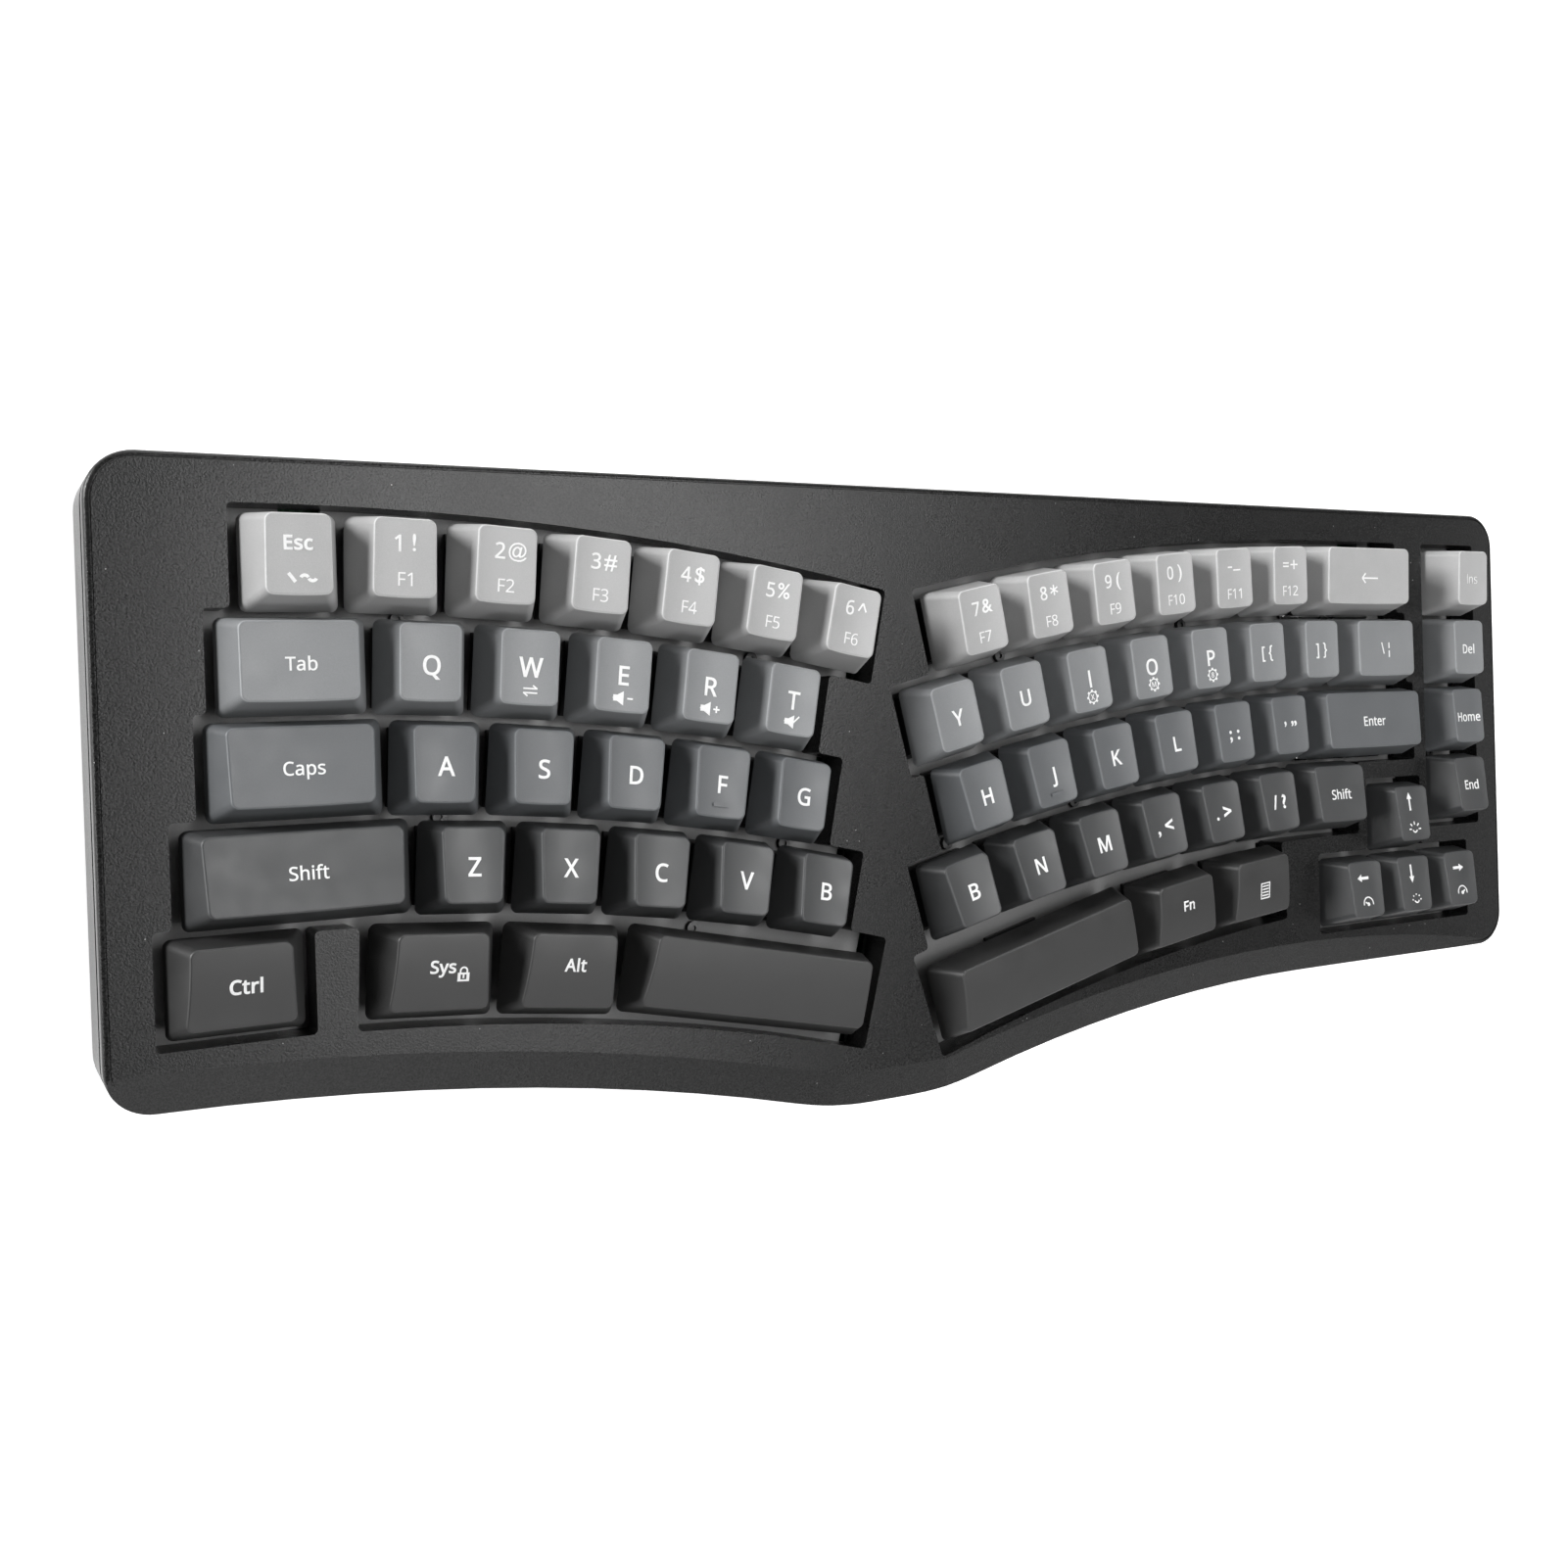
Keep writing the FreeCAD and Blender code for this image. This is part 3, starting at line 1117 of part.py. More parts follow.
def make_stabiliser_slider():
    """The slider under a wide key's cap, with the skirt on z = 0."""
    bottom = slider_bottom() - level(CAP_BOTTOM)
    width = size("stabiliser_slider")
    return feature("stabiliser_slider", Part.makeBox(
        width, width, size("post_lift") - bottom, Vector(-width / 2, -width / 2, bottom)))


HOMING_KEYS = ("f", "j")


def make_templates():
    """One cap for each size and row, and the pieces under it."""
    kinds = {(units, row, name in HOMING_KEYS) for name, (_, units, row) in KEYS.items()}
    caps = {kind: make_cap(*kind) for kind in sorted(kinds)}
    return caps, make_stem(), make_stabiliser_slider()


CAPS, STEM, STABILISER_SLIDER = make_templates()


def key_pieces(name):
    """The solids of one key where they stand: its cap, its slider and any stabiliser sliders."""
    middle, units, row = KEYS[name]
    lifted = Placement(Vector(0, 0, level(CAP_BOTTOM)), Rotation()).multiply(middle)
    pieces = [at_place(CAPS[units, row, name in HOMING_KEYS].Shape, lifted),
              at_place(STEM.Shape, lifted)]
    if name in STABILISED:
        for side in (-1, 1):
            step = Placement(Vector(side * size(STABILISED[name]), 0, 0), Rotation())
            pieces.append(at_place(STABILISER_SLIDER.Shape, lifted.multiply(step)))
    return pieces


def make_keys():
    """A node for each key, and one for each group of keys that share a node."""
    shared = {name for names in SHARED_NODES.values() for name in names}
    groups = {f"key_{name}": [name] for name in KEYS if name not in shared}
    groups.update(SHARED_NODES)
    nodes = []
    for node, names in groups.items():
        pieces = [piece for name in names for piece in key_pieces(name)]
        nodes.append(feature(node, Part.makeCompound(pieces)))
    return nodes


# The whole part

parts = [
    make_top_case(),
    make_bottom_case(),
    make_switch_plate(),
    make_circuit_board(),
    make_sound_foam(),
    make_switch_housings(),
    make_switch_springs(),
    make_stabiliser_housings(),
    make_stabiliser_wires(),
    make_usb_port(),
    make_screws(),
    make_rubber_feet(),
    make_tilt_foot("left"),
    make_tilt_foot("right"),
]
parts += make_keys()
doc.recompute()

for item in doc.Objects:
    if "Invalid" in item.State or "Error" in item.State:
        raise RuntimeError(f"{item.Name} did not build")
os.makedirs("parts", exist_ok=True)
for item in parts:
    item.Label = item.Name
    if item.Shape.isNull() or not item.Shape.isValid():
        raise RuntimeError(f"{item.Label} has no sound shape")
    item.Shape.exportStep(f"parts/{item.Label}.step")
print(len(parts), "sub-parts written")
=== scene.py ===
import math
import bpy
from mathutils import Matrix, Vector


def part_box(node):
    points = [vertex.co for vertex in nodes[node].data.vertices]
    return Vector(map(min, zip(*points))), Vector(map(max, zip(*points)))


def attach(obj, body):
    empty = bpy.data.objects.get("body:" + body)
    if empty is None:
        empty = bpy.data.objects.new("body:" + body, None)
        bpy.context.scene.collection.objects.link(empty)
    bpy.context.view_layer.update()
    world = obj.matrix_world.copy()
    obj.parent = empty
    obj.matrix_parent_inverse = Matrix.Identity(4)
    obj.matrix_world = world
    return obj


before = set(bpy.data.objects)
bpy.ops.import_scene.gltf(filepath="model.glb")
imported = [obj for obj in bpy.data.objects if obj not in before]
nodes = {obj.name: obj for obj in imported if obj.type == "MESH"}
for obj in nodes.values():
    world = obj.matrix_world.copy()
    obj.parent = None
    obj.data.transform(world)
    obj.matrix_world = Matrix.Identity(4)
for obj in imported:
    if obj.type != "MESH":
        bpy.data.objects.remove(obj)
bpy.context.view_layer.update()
print("frame loaded:", len(nodes), "nodes")

# camera, at the photograph's viewing angle
cameraSetup = {
    "place": (-0.21361, 0.01890, 0.29362),
    "right": (0.89310738, -0.03193259, 0.44870872),
    "up": (0.03366365, 0.99942472, 0.00412065),
    "back": (-0.44858217, 0.01142499, 0.89366857),
    "lens": 33.885,
    "sensor": 36.0,
    "shiftX": 0.0728,
    "shiftY": -0.0327,
    "near": 0.01,
}


def addCamera(setup):
    bpy.ops.object.camera_add(location=setup["place"])
    camera = bpy.context.object
    turn = Matrix((setup["right"], setup["up"], setup["back"])).transposed()
    camera.rotation_euler = turn.to_euler()
    camera.data.sensor_width = setup["sensor"]
    camera.data.sensor_fit = "HORIZONTAL"
    camera.data.lens = setup["lens"]
    camera.data.shift_x = setup["shiftX"]
    camera.data.shift_y = setup["shiftY"]
    camera.data.clip_start = setup["near"]
    bpy.context.scene.camera = camera


addCamera(cameraSetup)
bpy.context.scene.view_settings.view_transform = "Standard"
print("camera placed")

# the keys are laid out from the middle of the escape key
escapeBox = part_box("key_escape")
escapeKey = (escapeBox[0] + escapeBox[1]) / 2


def deselectAll():
    bpy.ops.object.select_all(action="DESELECT")


# a noise keeps mostly inside this range, which is spread over the wanted values
noiseLow, noiseHigh = 0.30, 0.70


class Finish:
    # a material, with short ways to add nodes to it

    def __init__(self, name):
        self.material = bpy.data.materials.new(name)
        self.material.use_nodes = True
        self.nodes = self.material.node_tree.nodes
        self.links = self.material.node_tree.links
        self.shader = self.nodes["Principled BSDF"]
        coordinates = self.nodes.new("ShaderNodeTexCoord")
        self.place = coordinates.outputs["Object"]
        self.facing = coordinates.outputs["Normal"]

    def add(self, kind, values=None, inputs=None):
        node = self.nodes.new(kind)
        for key, value in (values or {}).items():
            setattr(node, key, value)
        for key, value in (inputs or {}).items():
            if isinstance(value, bpy.types.NodeSocket):
                self.links.new(value, node.inputs[key])
            else:
                node.inputs[key].default_value = value
        return node

    def noise(self, scale, detail=2.0, rough=0.5):
        node = self.add("ShaderNodeTexNoise", inputs={
            "Vector": self.place, "Scale": scale, "Detail": detail, "Roughness": rough})
        return node.outputs["Fac"]

    def spread(self, value, low, high, toLow, toHigh):
        node = self.add("ShaderNodeMapRange", inputs={
            "Value": value, "From Min": low, "From Max": high, "To Min": toLow, "To Max": toHigh})
        return node.outputs["Result"]

    def spreadNoise(self, value, wanted):
        return self.spread(value, noiseLow, noiseHigh, *wanted)

    def axis(self, vector, name):
        return self.add("ShaderNodeSeparateXYZ", inputs={"Vector": vector}).outputs[name]

    def greyTone(self, tone):
        channels = {"Red": tone, "Green": tone, "Blue": tone}
        return self.add("ShaderNodeCombineColor", inputs=channels).outputs["Color"]

    def mix(self, factor, first, second, blend="MIX"):
        node = self.add("ShaderNodeMix", {"data_type": "RGBA", "blend_type": blend})
        for socket, value in ((node.inputs[0], factor), (node.inputs[6], first),
                              (node.inputs[7], second)):
            if isinstance(value, bpy.types.NodeSocket):
                self.links.new(value, socket)
            else:
                socket.default_value = value
        return node.outputs[2]

    def calc(self, operation, first, second=0.0):
        node = self.add("ShaderNodeMath", {"operation": operation}, {0: first, 1: second})
        return node.outputs[0]

    def bump(self, height, strength, distance):
        node = self.add("ShaderNodeBump", inputs={
            "Height": height, "Strength": strength, "Distance": distance})
        return node.outputs["Normal"]

    def wear(self, **sockets):
        for name, value in sockets.items():
            socket = self.shader.inputs[name.replace("_", " ")]
            if isinstance(value, bpy.types.NodeSocket):
                self.links.new(value, socket)
            else:
                socket.default_value = value
        return self.material


def grey(level, blue=0.0):
    # a colour from a screen grey of 0 to 255, a little bluer where asked
    value = ((level / 255 + 0.055) / 1.055) ** 2.4
    return (value * (1 - blue), value, value * (1 + blue), 1.0)


# the caps: satin plastic with a fine grain, a shade for each row
capPlastic = {
    "rows": [grey(172), grey(130, 0.03), grey(96, 0.05), grey(64, 0.03), grey(52)],
    "grain": 5200.0,
    "grainTone": (0.94, 1.06),
    "cloud": 160.0,
    "cloudTone": (0.97, 1.03),
    "roughness": (0.38, 0.50),
    "bump": 0.12,
    "bumpDepth": 0.00004,
    # painted shade: the flanks get darker towards the skirt
    "skirt": 0.0196,
    "paintedSkirtShade": 0.80,
    "shadeTop": 0.0265,
    # how steep the rounded edge is where its painted highlight begins and ends
    "edge": (0.46, 0.62, 0.88, 0.93),
    # how much paler the painted highlight makes the rounded edge
    "rimHighlightTone": 1.4,
}


def capFinish(name, colour, setup):
    # the colour is one for the whole cap, or made from where the key stands
    finish = Finish(name)
    base = colour if isinstance(colour, tuple) else colour(finish)
    grain = finish.noise(setup["grain"], 2.0, 0.6)
    cloud = finish.noise(setup["cloud"], 3.0)
    specks = finish.spreadNoise(grain, setup["grainTone"])
    clouds = finish.spreadNoise(cloud, setup["cloudTone"])
    height = finish.axis(finish.place, "Z")
    # painted shade: the cap's colour darkens from the skirt up to shadeTop
    shade = finish.spread(height, setup["skirt"], setup["shadeTop"], setup["paintedSkirtShade"], 1.0)
    # painted highlight: the rounded edge between top and flanks is painted a little paler
    lean = finish.axis(finish.facing, "Z")
    outer, outerEnd, inner, innerEnd = setup["edge"]
    rounded = finish.calc("MULTIPLY", finish.spread(lean, outer, outerEnd, 0.0, 1.0),
                          finish.spread(lean, inner, innerEnd, 1.0, 0.0))
    paintedRimHighlight = finish.spread(rounded, 0.0, 1.0, 1.0, setup["rimHighlightTone"])
    tone = finish.calc("MULTIPLY", finish.calc("MULTIPLY", specks, clouds),
                       finish.calc("MULTIPLY", shade, paintedRimHighlight))
    return finish.wear(
        Base_Color=finish.mix(1.0, base, finish.greyTone(tone), "MULTIPLY"),
        Roughness=finish.spreadNoise(cloud, setup["roughness"]),
        Normal=finish.bump(grain, setup["bump"], setup["bumpDepth"]))


# keys of several rows share a node, so their shade comes from how far they are from the
# centre of the arcs, and in the straight column from how far back they stand
rowBands = {
    "apexX": 0.2720,
    "radius": 0.590,
    "pitch": 0.01905,
}


def arcShades(rows, escapeKey, setup):
    def colour(finish):
        middle = (escapeKey[0] + setup["apexX"], escapeKey[1] - setup["radius"], 0.0)
        flat = finish.add("ShaderNodeVectorMath", {"operation": "MULTIPLY"},
                          {0: finish.place, 1: (1.0, 1.0, 0.0)}).outputs["Vector"]
        away = finish.add("ShaderNodeVectorMath", {"operation": "DISTANCE"},
                          {0: flat, 1: middle}).outputs["Value"]
        shade = rows[-1]
        for row in range(len(rows) - 1, 0, -1):
            edge = setup["radius"] - (row - 0.5) * setup["pitch"]
            shade = finish.mix(finish.calc("GREATER_THAN", away, edge), shade, rows[row - 1])
        return shade
    return colour


def straightShades(rows, topRow, pitch):
    def colour(finish):
        back = finish.axis(finish.place, "Y")
        shade = rows[-1]
        for row in range(len(rows) - 1, 0, -1):
            edge = topRow - (row - 0.5) * pitch
            shade = finish.mix(finish.calc("GREATER_THAN", back, edge), shade, rows[row - 1])
        return shade
    return colour


# the case: matt black with a pebbled grain and a few pale specks
casePlastic = {
    "colour": grey(27),
    "grain": 2500.0,
    "grainRange": (0.35, 0.65),
    "grainTone": (0.20, 1.95),
    "cloud": 35.0,
    "cloudRange": (0.35, 0.65),
    "specks": 420.0,
    "speckSize": 0.055,
    "speckRare": 0.78,
    "speckColour": grey(150),
    "roughness": (0.25, 0.29),
    "sheen": 0.32,
    "bump": 0.60,
    "bumpDepth": 0.00010,
}


def caseFinish(name, setup):
    finish = Finish(name)
    grain = finish.noise(setup["grain"], 3.0, 0.6)
    cloud = finish.noise(setup["cloud"], 2.0)
    tone = finish.spread(grain, *setup["grainRange"], *setup["grainTone"])
    base = finish.mix(1.0, setup["colour"], finish.greyTone(tone), "MULTIPLY")
    cells = finish.add("ShaderNodeTexVoronoi", inputs={
        "Vector": finish.place, "Scale": setup["specks"]})
    near = finish.calc("LESS_THAN", cells.outputs["Distance"], setup["speckSize"])
    rare = finish.calc("GREATER_THAN", cells.outputs["Color"], setup["speckRare"])
    speck = finish.calc("MULTIPLY", near, rare)
    return finish.wear(
        Base_Color=finish.mix(speck, base, setup["speckColour"]),
        Roughness=finish.spread(cloud, *setup["cloudRange"], *setup["roughness"]),
        Specular_IOR_Level=setup["sheen"],
        Normal=finish.bump(grain, setup["bump"], setup["bumpDepth"]))


cloudTone = (0.95, 1.05)


def plainFinish(name, setup):
    # paint, rubber, metal and foam: a base with clouds and a grain
    finish = Finish(name)
    grain = finish.noise(setup["grain"], 2.0, 0.6)
    cloud = finish.noise(setup["cloud"], 3.0)
    change = setup["change"]
    tone = finish.calc("MULTIPLY", finish.spreadNoise(grain, (1 - change, 1 + change)),
                       finish.spreadNoise(cloud, cloudTone))
    return finish.wear(
        Base_Color=finish.mix(1.0, setup["colour"], finish.greyTone(tone), "MULTIPLY"),
        Metallic=setup["metal"],
        Roughness=finish.spreadNoise(cloud, setup["roughness"]),
        Normal=finish.bump(grain, setup["bump"], setup["bumpDepth"]))


finishes = {
    "platePaint": {"colour": grey(120), "grain": 3000.0, "cloud": 60.0, "change": 0.05,
                   "metal": 0.0, "roughness": (0.30, 0.42), "bump": 0.10, "bumpDepth": 0.00003},
    "switchNylon": {"colour": grey(38), "grain": 2200.0, "cloud": 90.0, "change": 0.08,
                    "metal": 0.0, "roughness": (0.42, 0.55), "bump": 0.15, "bumpDepth": 0.00004},
    "springSteel": {"colour": grey(205), "grain": 1800.0, "cloud": 120.0, "change": 0.05,
                    "metal": 1.0, "roughness": (0.22, 0.34), "bump": 0.08, "bumpDepth": 0.00002},
    "blackScrew": {"colour": grey(88), "grain": 2600.0, "cloud": 300.0, "change": 0.10,
                   "metal": 0.8, "roughness": (0.34, 0.50), "bump": 0.15, "bumpDepth": 0.00003},
    "portShell": {"colour": grey(200), "grain": 2400.0, "cloud": 200.0, "change": 0.04,
                  "metal": 1.0, "roughness": (0.26, 0.38), "bump": 0.06, "bumpDepth": 0.00002},
    "footRubber": {"colour": grey(48), "grain": 1500.0, "cloud": 80.0, "change": 0.10,
                   "metal": 0.0, "roughness": (0.75, 0.88), "bump": 0.40, "bumpDepth": 0.00008},
    "soundFoam": {"colour": grey(70), "grain": 900.0, "cloud": 60.0, "change": 0.18,
                  "metal": 0.0, "roughness": (0.90, 0.98), "bump": 0.70, "bumpDepth": 0.00020},
}

# the circuit board: green lacquer over copper tracks
boardLacquer = {
    "lacquer": (0.012, 0.060, 0.030, 1.0),
    "track": (0.030, 0.115, 0.050, 1.0),
    "tracks": 260.0,
    "trackWidth": 0.12,
    "roughness": 0.28,
    "bump": 0.3,
    "bumpDepth": 0.00004,
}


def boardFinish(name, setup):
    # tracks run where the nearest and the second nearest cell are as far away
    finish = Finish(name)
    second = finish.add("ShaderNodeTexVoronoi", {"distance": "MANHATTAN", "feature": "F2"},
                        {"Vector": finish.place, "Scale": setup["tracks"]})
    first = finish.add("ShaderNodeTexVoronoi", {"distance": "MANHATTAN"},
                       {"Vector": finish.place, "Scale": setup["tracks"]})
    gap = finish.calc("SUBTRACT", second.outputs["Distance"], first.outputs["Distance"])
    track = finish.calc("LESS_THAN", gap, setup["trackWidth"])
    return finish.wear(
        Base_Color=finish.mix(track, setup["lacquer"], setup["track"]),
        Roughness=setup["roughness"],
        Normal=finish.bump(track, setup["bump"], setup["bumpDepth"]))


def dress(node, material):
    slots = nodes[node].material_slots
    for slot in slots:
        slot.material = material
    if not len(slots):
        nodes[node].data.materials.append(material)


# the keys with a node of their own, row by row from the rear
rowKeys = [
    ["escape", "backspace"],
    ["tab"] + list("qwertyuiop"),
    ["caps_lock", "enter"] + list("asdfghjkl"),
    ["shift_left", "shift_right", "b_left", "b_right"] + list("zxcvnm"),
    ["control", "system", "alt", "space_left", "space_right", "function", "menu"],
]


caseNodes = ["top_case", "bottom_case", "tilt_foot_left", "tilt_foot_right"]
plainNodes = {
    "switch_plate": "platePaint",
    "switch_housings": "switchNylon",
    "stabiliser_housings": "switchNylon",
    "switch_springs": "springSteel",
    "stabiliser_wires": "springSteel",
    "screws": "blackScrew",
    "usb_port": "portShell",
    "rubber_feet": "footRubber",
    "sound_foam": "soundFoam",
}


def dressCaps():
    shades = capPlastic["rows"]
    rows = [capFinish(f"capsRow{row + 1}", colour, capPlastic)
            for row, colour in enumerate(shades)]
    for row, names in enumerate(rowKeys):
        for name in names:
            dress(f"key_{name}", rows[row])
    dress("keys_digits_left", rows[0])
    dress("keys_digits_right", rows[0])
    dress("keys_arrows", rows[3])
    mixed = capFinish("capsPunctuation", arcShades(shades[:4], escapeKey, rowBands), capPlastic)
    dress("keys_punctuation", mixed)
    column = straightShades(shades[:4], escapeKey[1], rowBands["pitch"])
    dress("keys_navigation", capFinish("capsNavigation", column, capPlastic))


def dressBody():
    case = caseFinish("casePlastic", casePlastic)
    for node in caseNodes:
        dress(node, case)
    made = {name: plainFinish(name, setup) for name, setup in finishes.items()}
    for node, name in plainNodes.items():
        dress(node, made[name])
    dress("circuit_board", boardFinish("boardLacquer", boardLacquer))


dressCaps()
dressBody()
print("nodes dressed")

# where each key lies, by the sizes of the construction, in metres from the escape key;
# side 1 is the left block and side -1 the right one
keyBoard = {
    "pitch": 0.01905,
    "gap": 0.00075,
    "endGap": {1: 0.0004, -1: 0.0008},
    "arcRadius": 0.590,
    # how far the top of an arc moves sideways from row to row
    "leftDrift": 0.0014,
    "rightApex": 0.2689,
    "rightDrift": 0.0028,
    "endX": {"backspace": 0.2802, "backslash": 0.2884, "enter": 0.2839, "shift_right": 0.2698},
    "thumbApex": {1: -0.0123, -1: 0.2940},
    "thumbStart": {1: 0.0368, -1: 0.0537},
    "controlX": -0.0120,
    "navigationX": 0.3223,
    "arrowX": 0.2976,
    "arrowDrop": 0.0830,
    "thumbRow": 4,
    "arrowRow": 3,
    "controlUnits": 1.35,
    "skirt": 0.0196,
    "topDepth": 0.0144,
    "topWidth": 0.0118,
    "topShift": 0.0008,
    "heights": [0.0097, 0.0080, 0.0074, 0.0079, 0.0075],
    "tilts": [1.9, -1.0, -4.4, -7.2, 7.8],
}
# for each side and row the key at its outer end, that key's width in units, and the keys
# that follow along the arc
keyRows = {
    1: [("escape", 1.0, ["digit_1", "digit_2", "digit_3", "digit_4", "digit_5", "digit_6"]),
        ("tab", 1.5, ["q", "w", "e", "r", "t"]),
        ("caps_lock", 1.75, ["a", "s", "d", "f", "g"]),
        ("shift_left", 2.25, ["z", "x", "c", "v", "b_left"])],
    -1: [("backspace", 2.0, ["equals", "minus", "digit_0", "digit_9", "digit_8", "digit_7"]),
         ("backslash", 1.5, ["bracket_right", "bracket_left", "p", "o", "i", "u", "y"]),
         ("enter", 2.25, ["quote", "semicolon", "l", "k", "j", "h"]),
         ("shift_right", 1.3, ["slash", "period", "comma", "m", "n", "b_right"])],
}
thumbKeys = {
    1: [("system", 1.35), ("alt", 1.35), ("space_left", 3.15)],
    -1: [("menu", 1.35), ("function", 1.35), ("space_right", 3.15)],
}
sharedNodes = {
    "keys_digits_left": ["digit_1", "digit_2", "digit_3", "digit_4", "digit_5", "digit_6"],
    "keys_digits_right": ["digit_7", "digit_8", "digit_9", "digit_0", "minus", "equals"],
    "keys_punctuation": ["bracket_left", "bracket_right", "backslash", "semicolon", "quote",
                         "comma", "period", "slash"],
    "keys_navigation": ["insert", "delete", "home", "end"],
    "keys_arrows": ["arrow_up", "arrow_left", "arrow_down", "arrow_right"],
}


def onArc(apexX, along, row, side, board):
    radius = board["arcRadius"] - row * board["pitch"]
    turn = along / radius
    x = apexX + side * radius * math.sin(turn)
    y = -row * board["pitch"] - radius * (1 - math.cos(turn))
    return x, y, -side * turn


def layOutKeys(board):
    # each key: x, y, turn, width in units, row
    places = {}
    pitch = board["pitch"]
    thumb = board["thumbRow"]
    step = pitch + board["gap"]
    for side, rows in keyRows.items():
        for row, (endKey, units, arcKeys) in enumerate(rows):
            apex = -row * board["leftDrift"]
            if side < 0:
                apex = board["rightApex"] + row * board["rightDrift"]
            endX = board["endX"].get(endKey, 0.0)
            places[endKey] = (endX, -row * pitch, 0.0, units, row)
            reach = (units + 1) / 2 * pitch + board["endGap"][side]
            start = side * (endX + side * reach - apex)
            for count, name in enumerate(arcKeys):
                spot = onArc(apex, start + count * step, row, side, board)
                places[name] = spot + (1.0, row)
        along = board["thumbStart"][side]
        before = None
        for name, units in thumbKeys[side]:
            if before:
                along += (before + units) / 2 * pitch + board["gap"]
            before = units
            spot = onArc(board["thumbApex"][side], along, thumb, side, board)
            places[name] = spot + (units, thumb)
    places["control"] = (board["controlX"], -thumb * pitch, 0.0, board["controlUnits"], thumb)
    for row, name in enumerate(sharedNodes["keys_navigation"]):
        places[name] = (board["navigationX"], -row * pitch, 0.0, 1.0, row)
    low = -board["arrowDrop"]
    for name, x, y in (("arrow_left", -pitch, 0.0), ("arrow_down", 0.0, 0.0),
                       ("arrow_right", pitch, 0.0), ("arrow_up", 0.0, pitch)):
        places[name] = (board["arrowX"] + x, low + y, 0.0, 1.0, board["arrowRow"])
    return places


keyPlaces = layOutKeys(keyBoard)

# the key signs: the height of a capital, the place on the top as a share of its width and
# depth from the left and rear edges, and how much the letters are thickened
signStyles = {
    "letter": {"height": 0.0037, "across": 0.52, "down": 0.54, "bold": 0.018},
    "letterOverSign": {"height": 0.0039, "across": 0.52, "down": 0.50, "bold": 0.018},
    "digit": {"height": 0.0031, "across": 0.385, "down": 0.31, "bold": 0.014},
    "shifted": {"height": 0.0033, "across": 0.65, "down": 0.29, "bold": 0.010},
    "atSign": {"height": 0.0028, "across": 0.685, "down": 0.29, "bold": 0.006},
    "bars": {"across": 0.51, "down": 0.31},
    "lower": {"height": 0.0025, "across": 0.51, "down": 0.77, "bold": 0.0},
    "brackets": {"height": 0.0031, "across": 0.50, "down": 0.50, "bold": 0.010},
    "pair": {"height": 0.0037, "across": 0.50, "down": 0.52, "bold": 0.026},
    "quotes": {"height": 0.0036, "across": 0.52, "down": 0.56, "bold": 0.020},
    "word": {"height": 0.0025, "across": 0.51, "down": 0.54, "bold": 0.013},
    "thumbWord": {"height": 0.0026, "across": 0.52, "down": 0.39, "bold": 0.024},
    "escapeWord": {"height": 0.0027, "across": 0.50, "down": 0.35, "bold": 0.034},
    "thinWord": {"height": 0.0025, "across": 0.50, "down": 0.52, "bold": -0.008},
    "controlWord": {"height": 0.0027, "across": 0.53, "down": 0.47, "bold": 0.030},
    "systemWord": {"height": 0.0025, "across": 0.50, "down": 0.40, "bold": 0.030},
    "arrow": {"across": 0.45, "down": 0.32},
    "lowSign": {"across": 0.52, "down": 0.82},
    "ringSign": {"across": 0.52, "down": 0.80},
    "arrowSign": {"across": 0.52, "down": 0.76},
    "middleSign": {"across": 0.52, "down": 0.54},
    "accents": {"across": 0.54, "down": 0.79},
    "lockSign": {"across": 0.72, "down": 0.51},
}
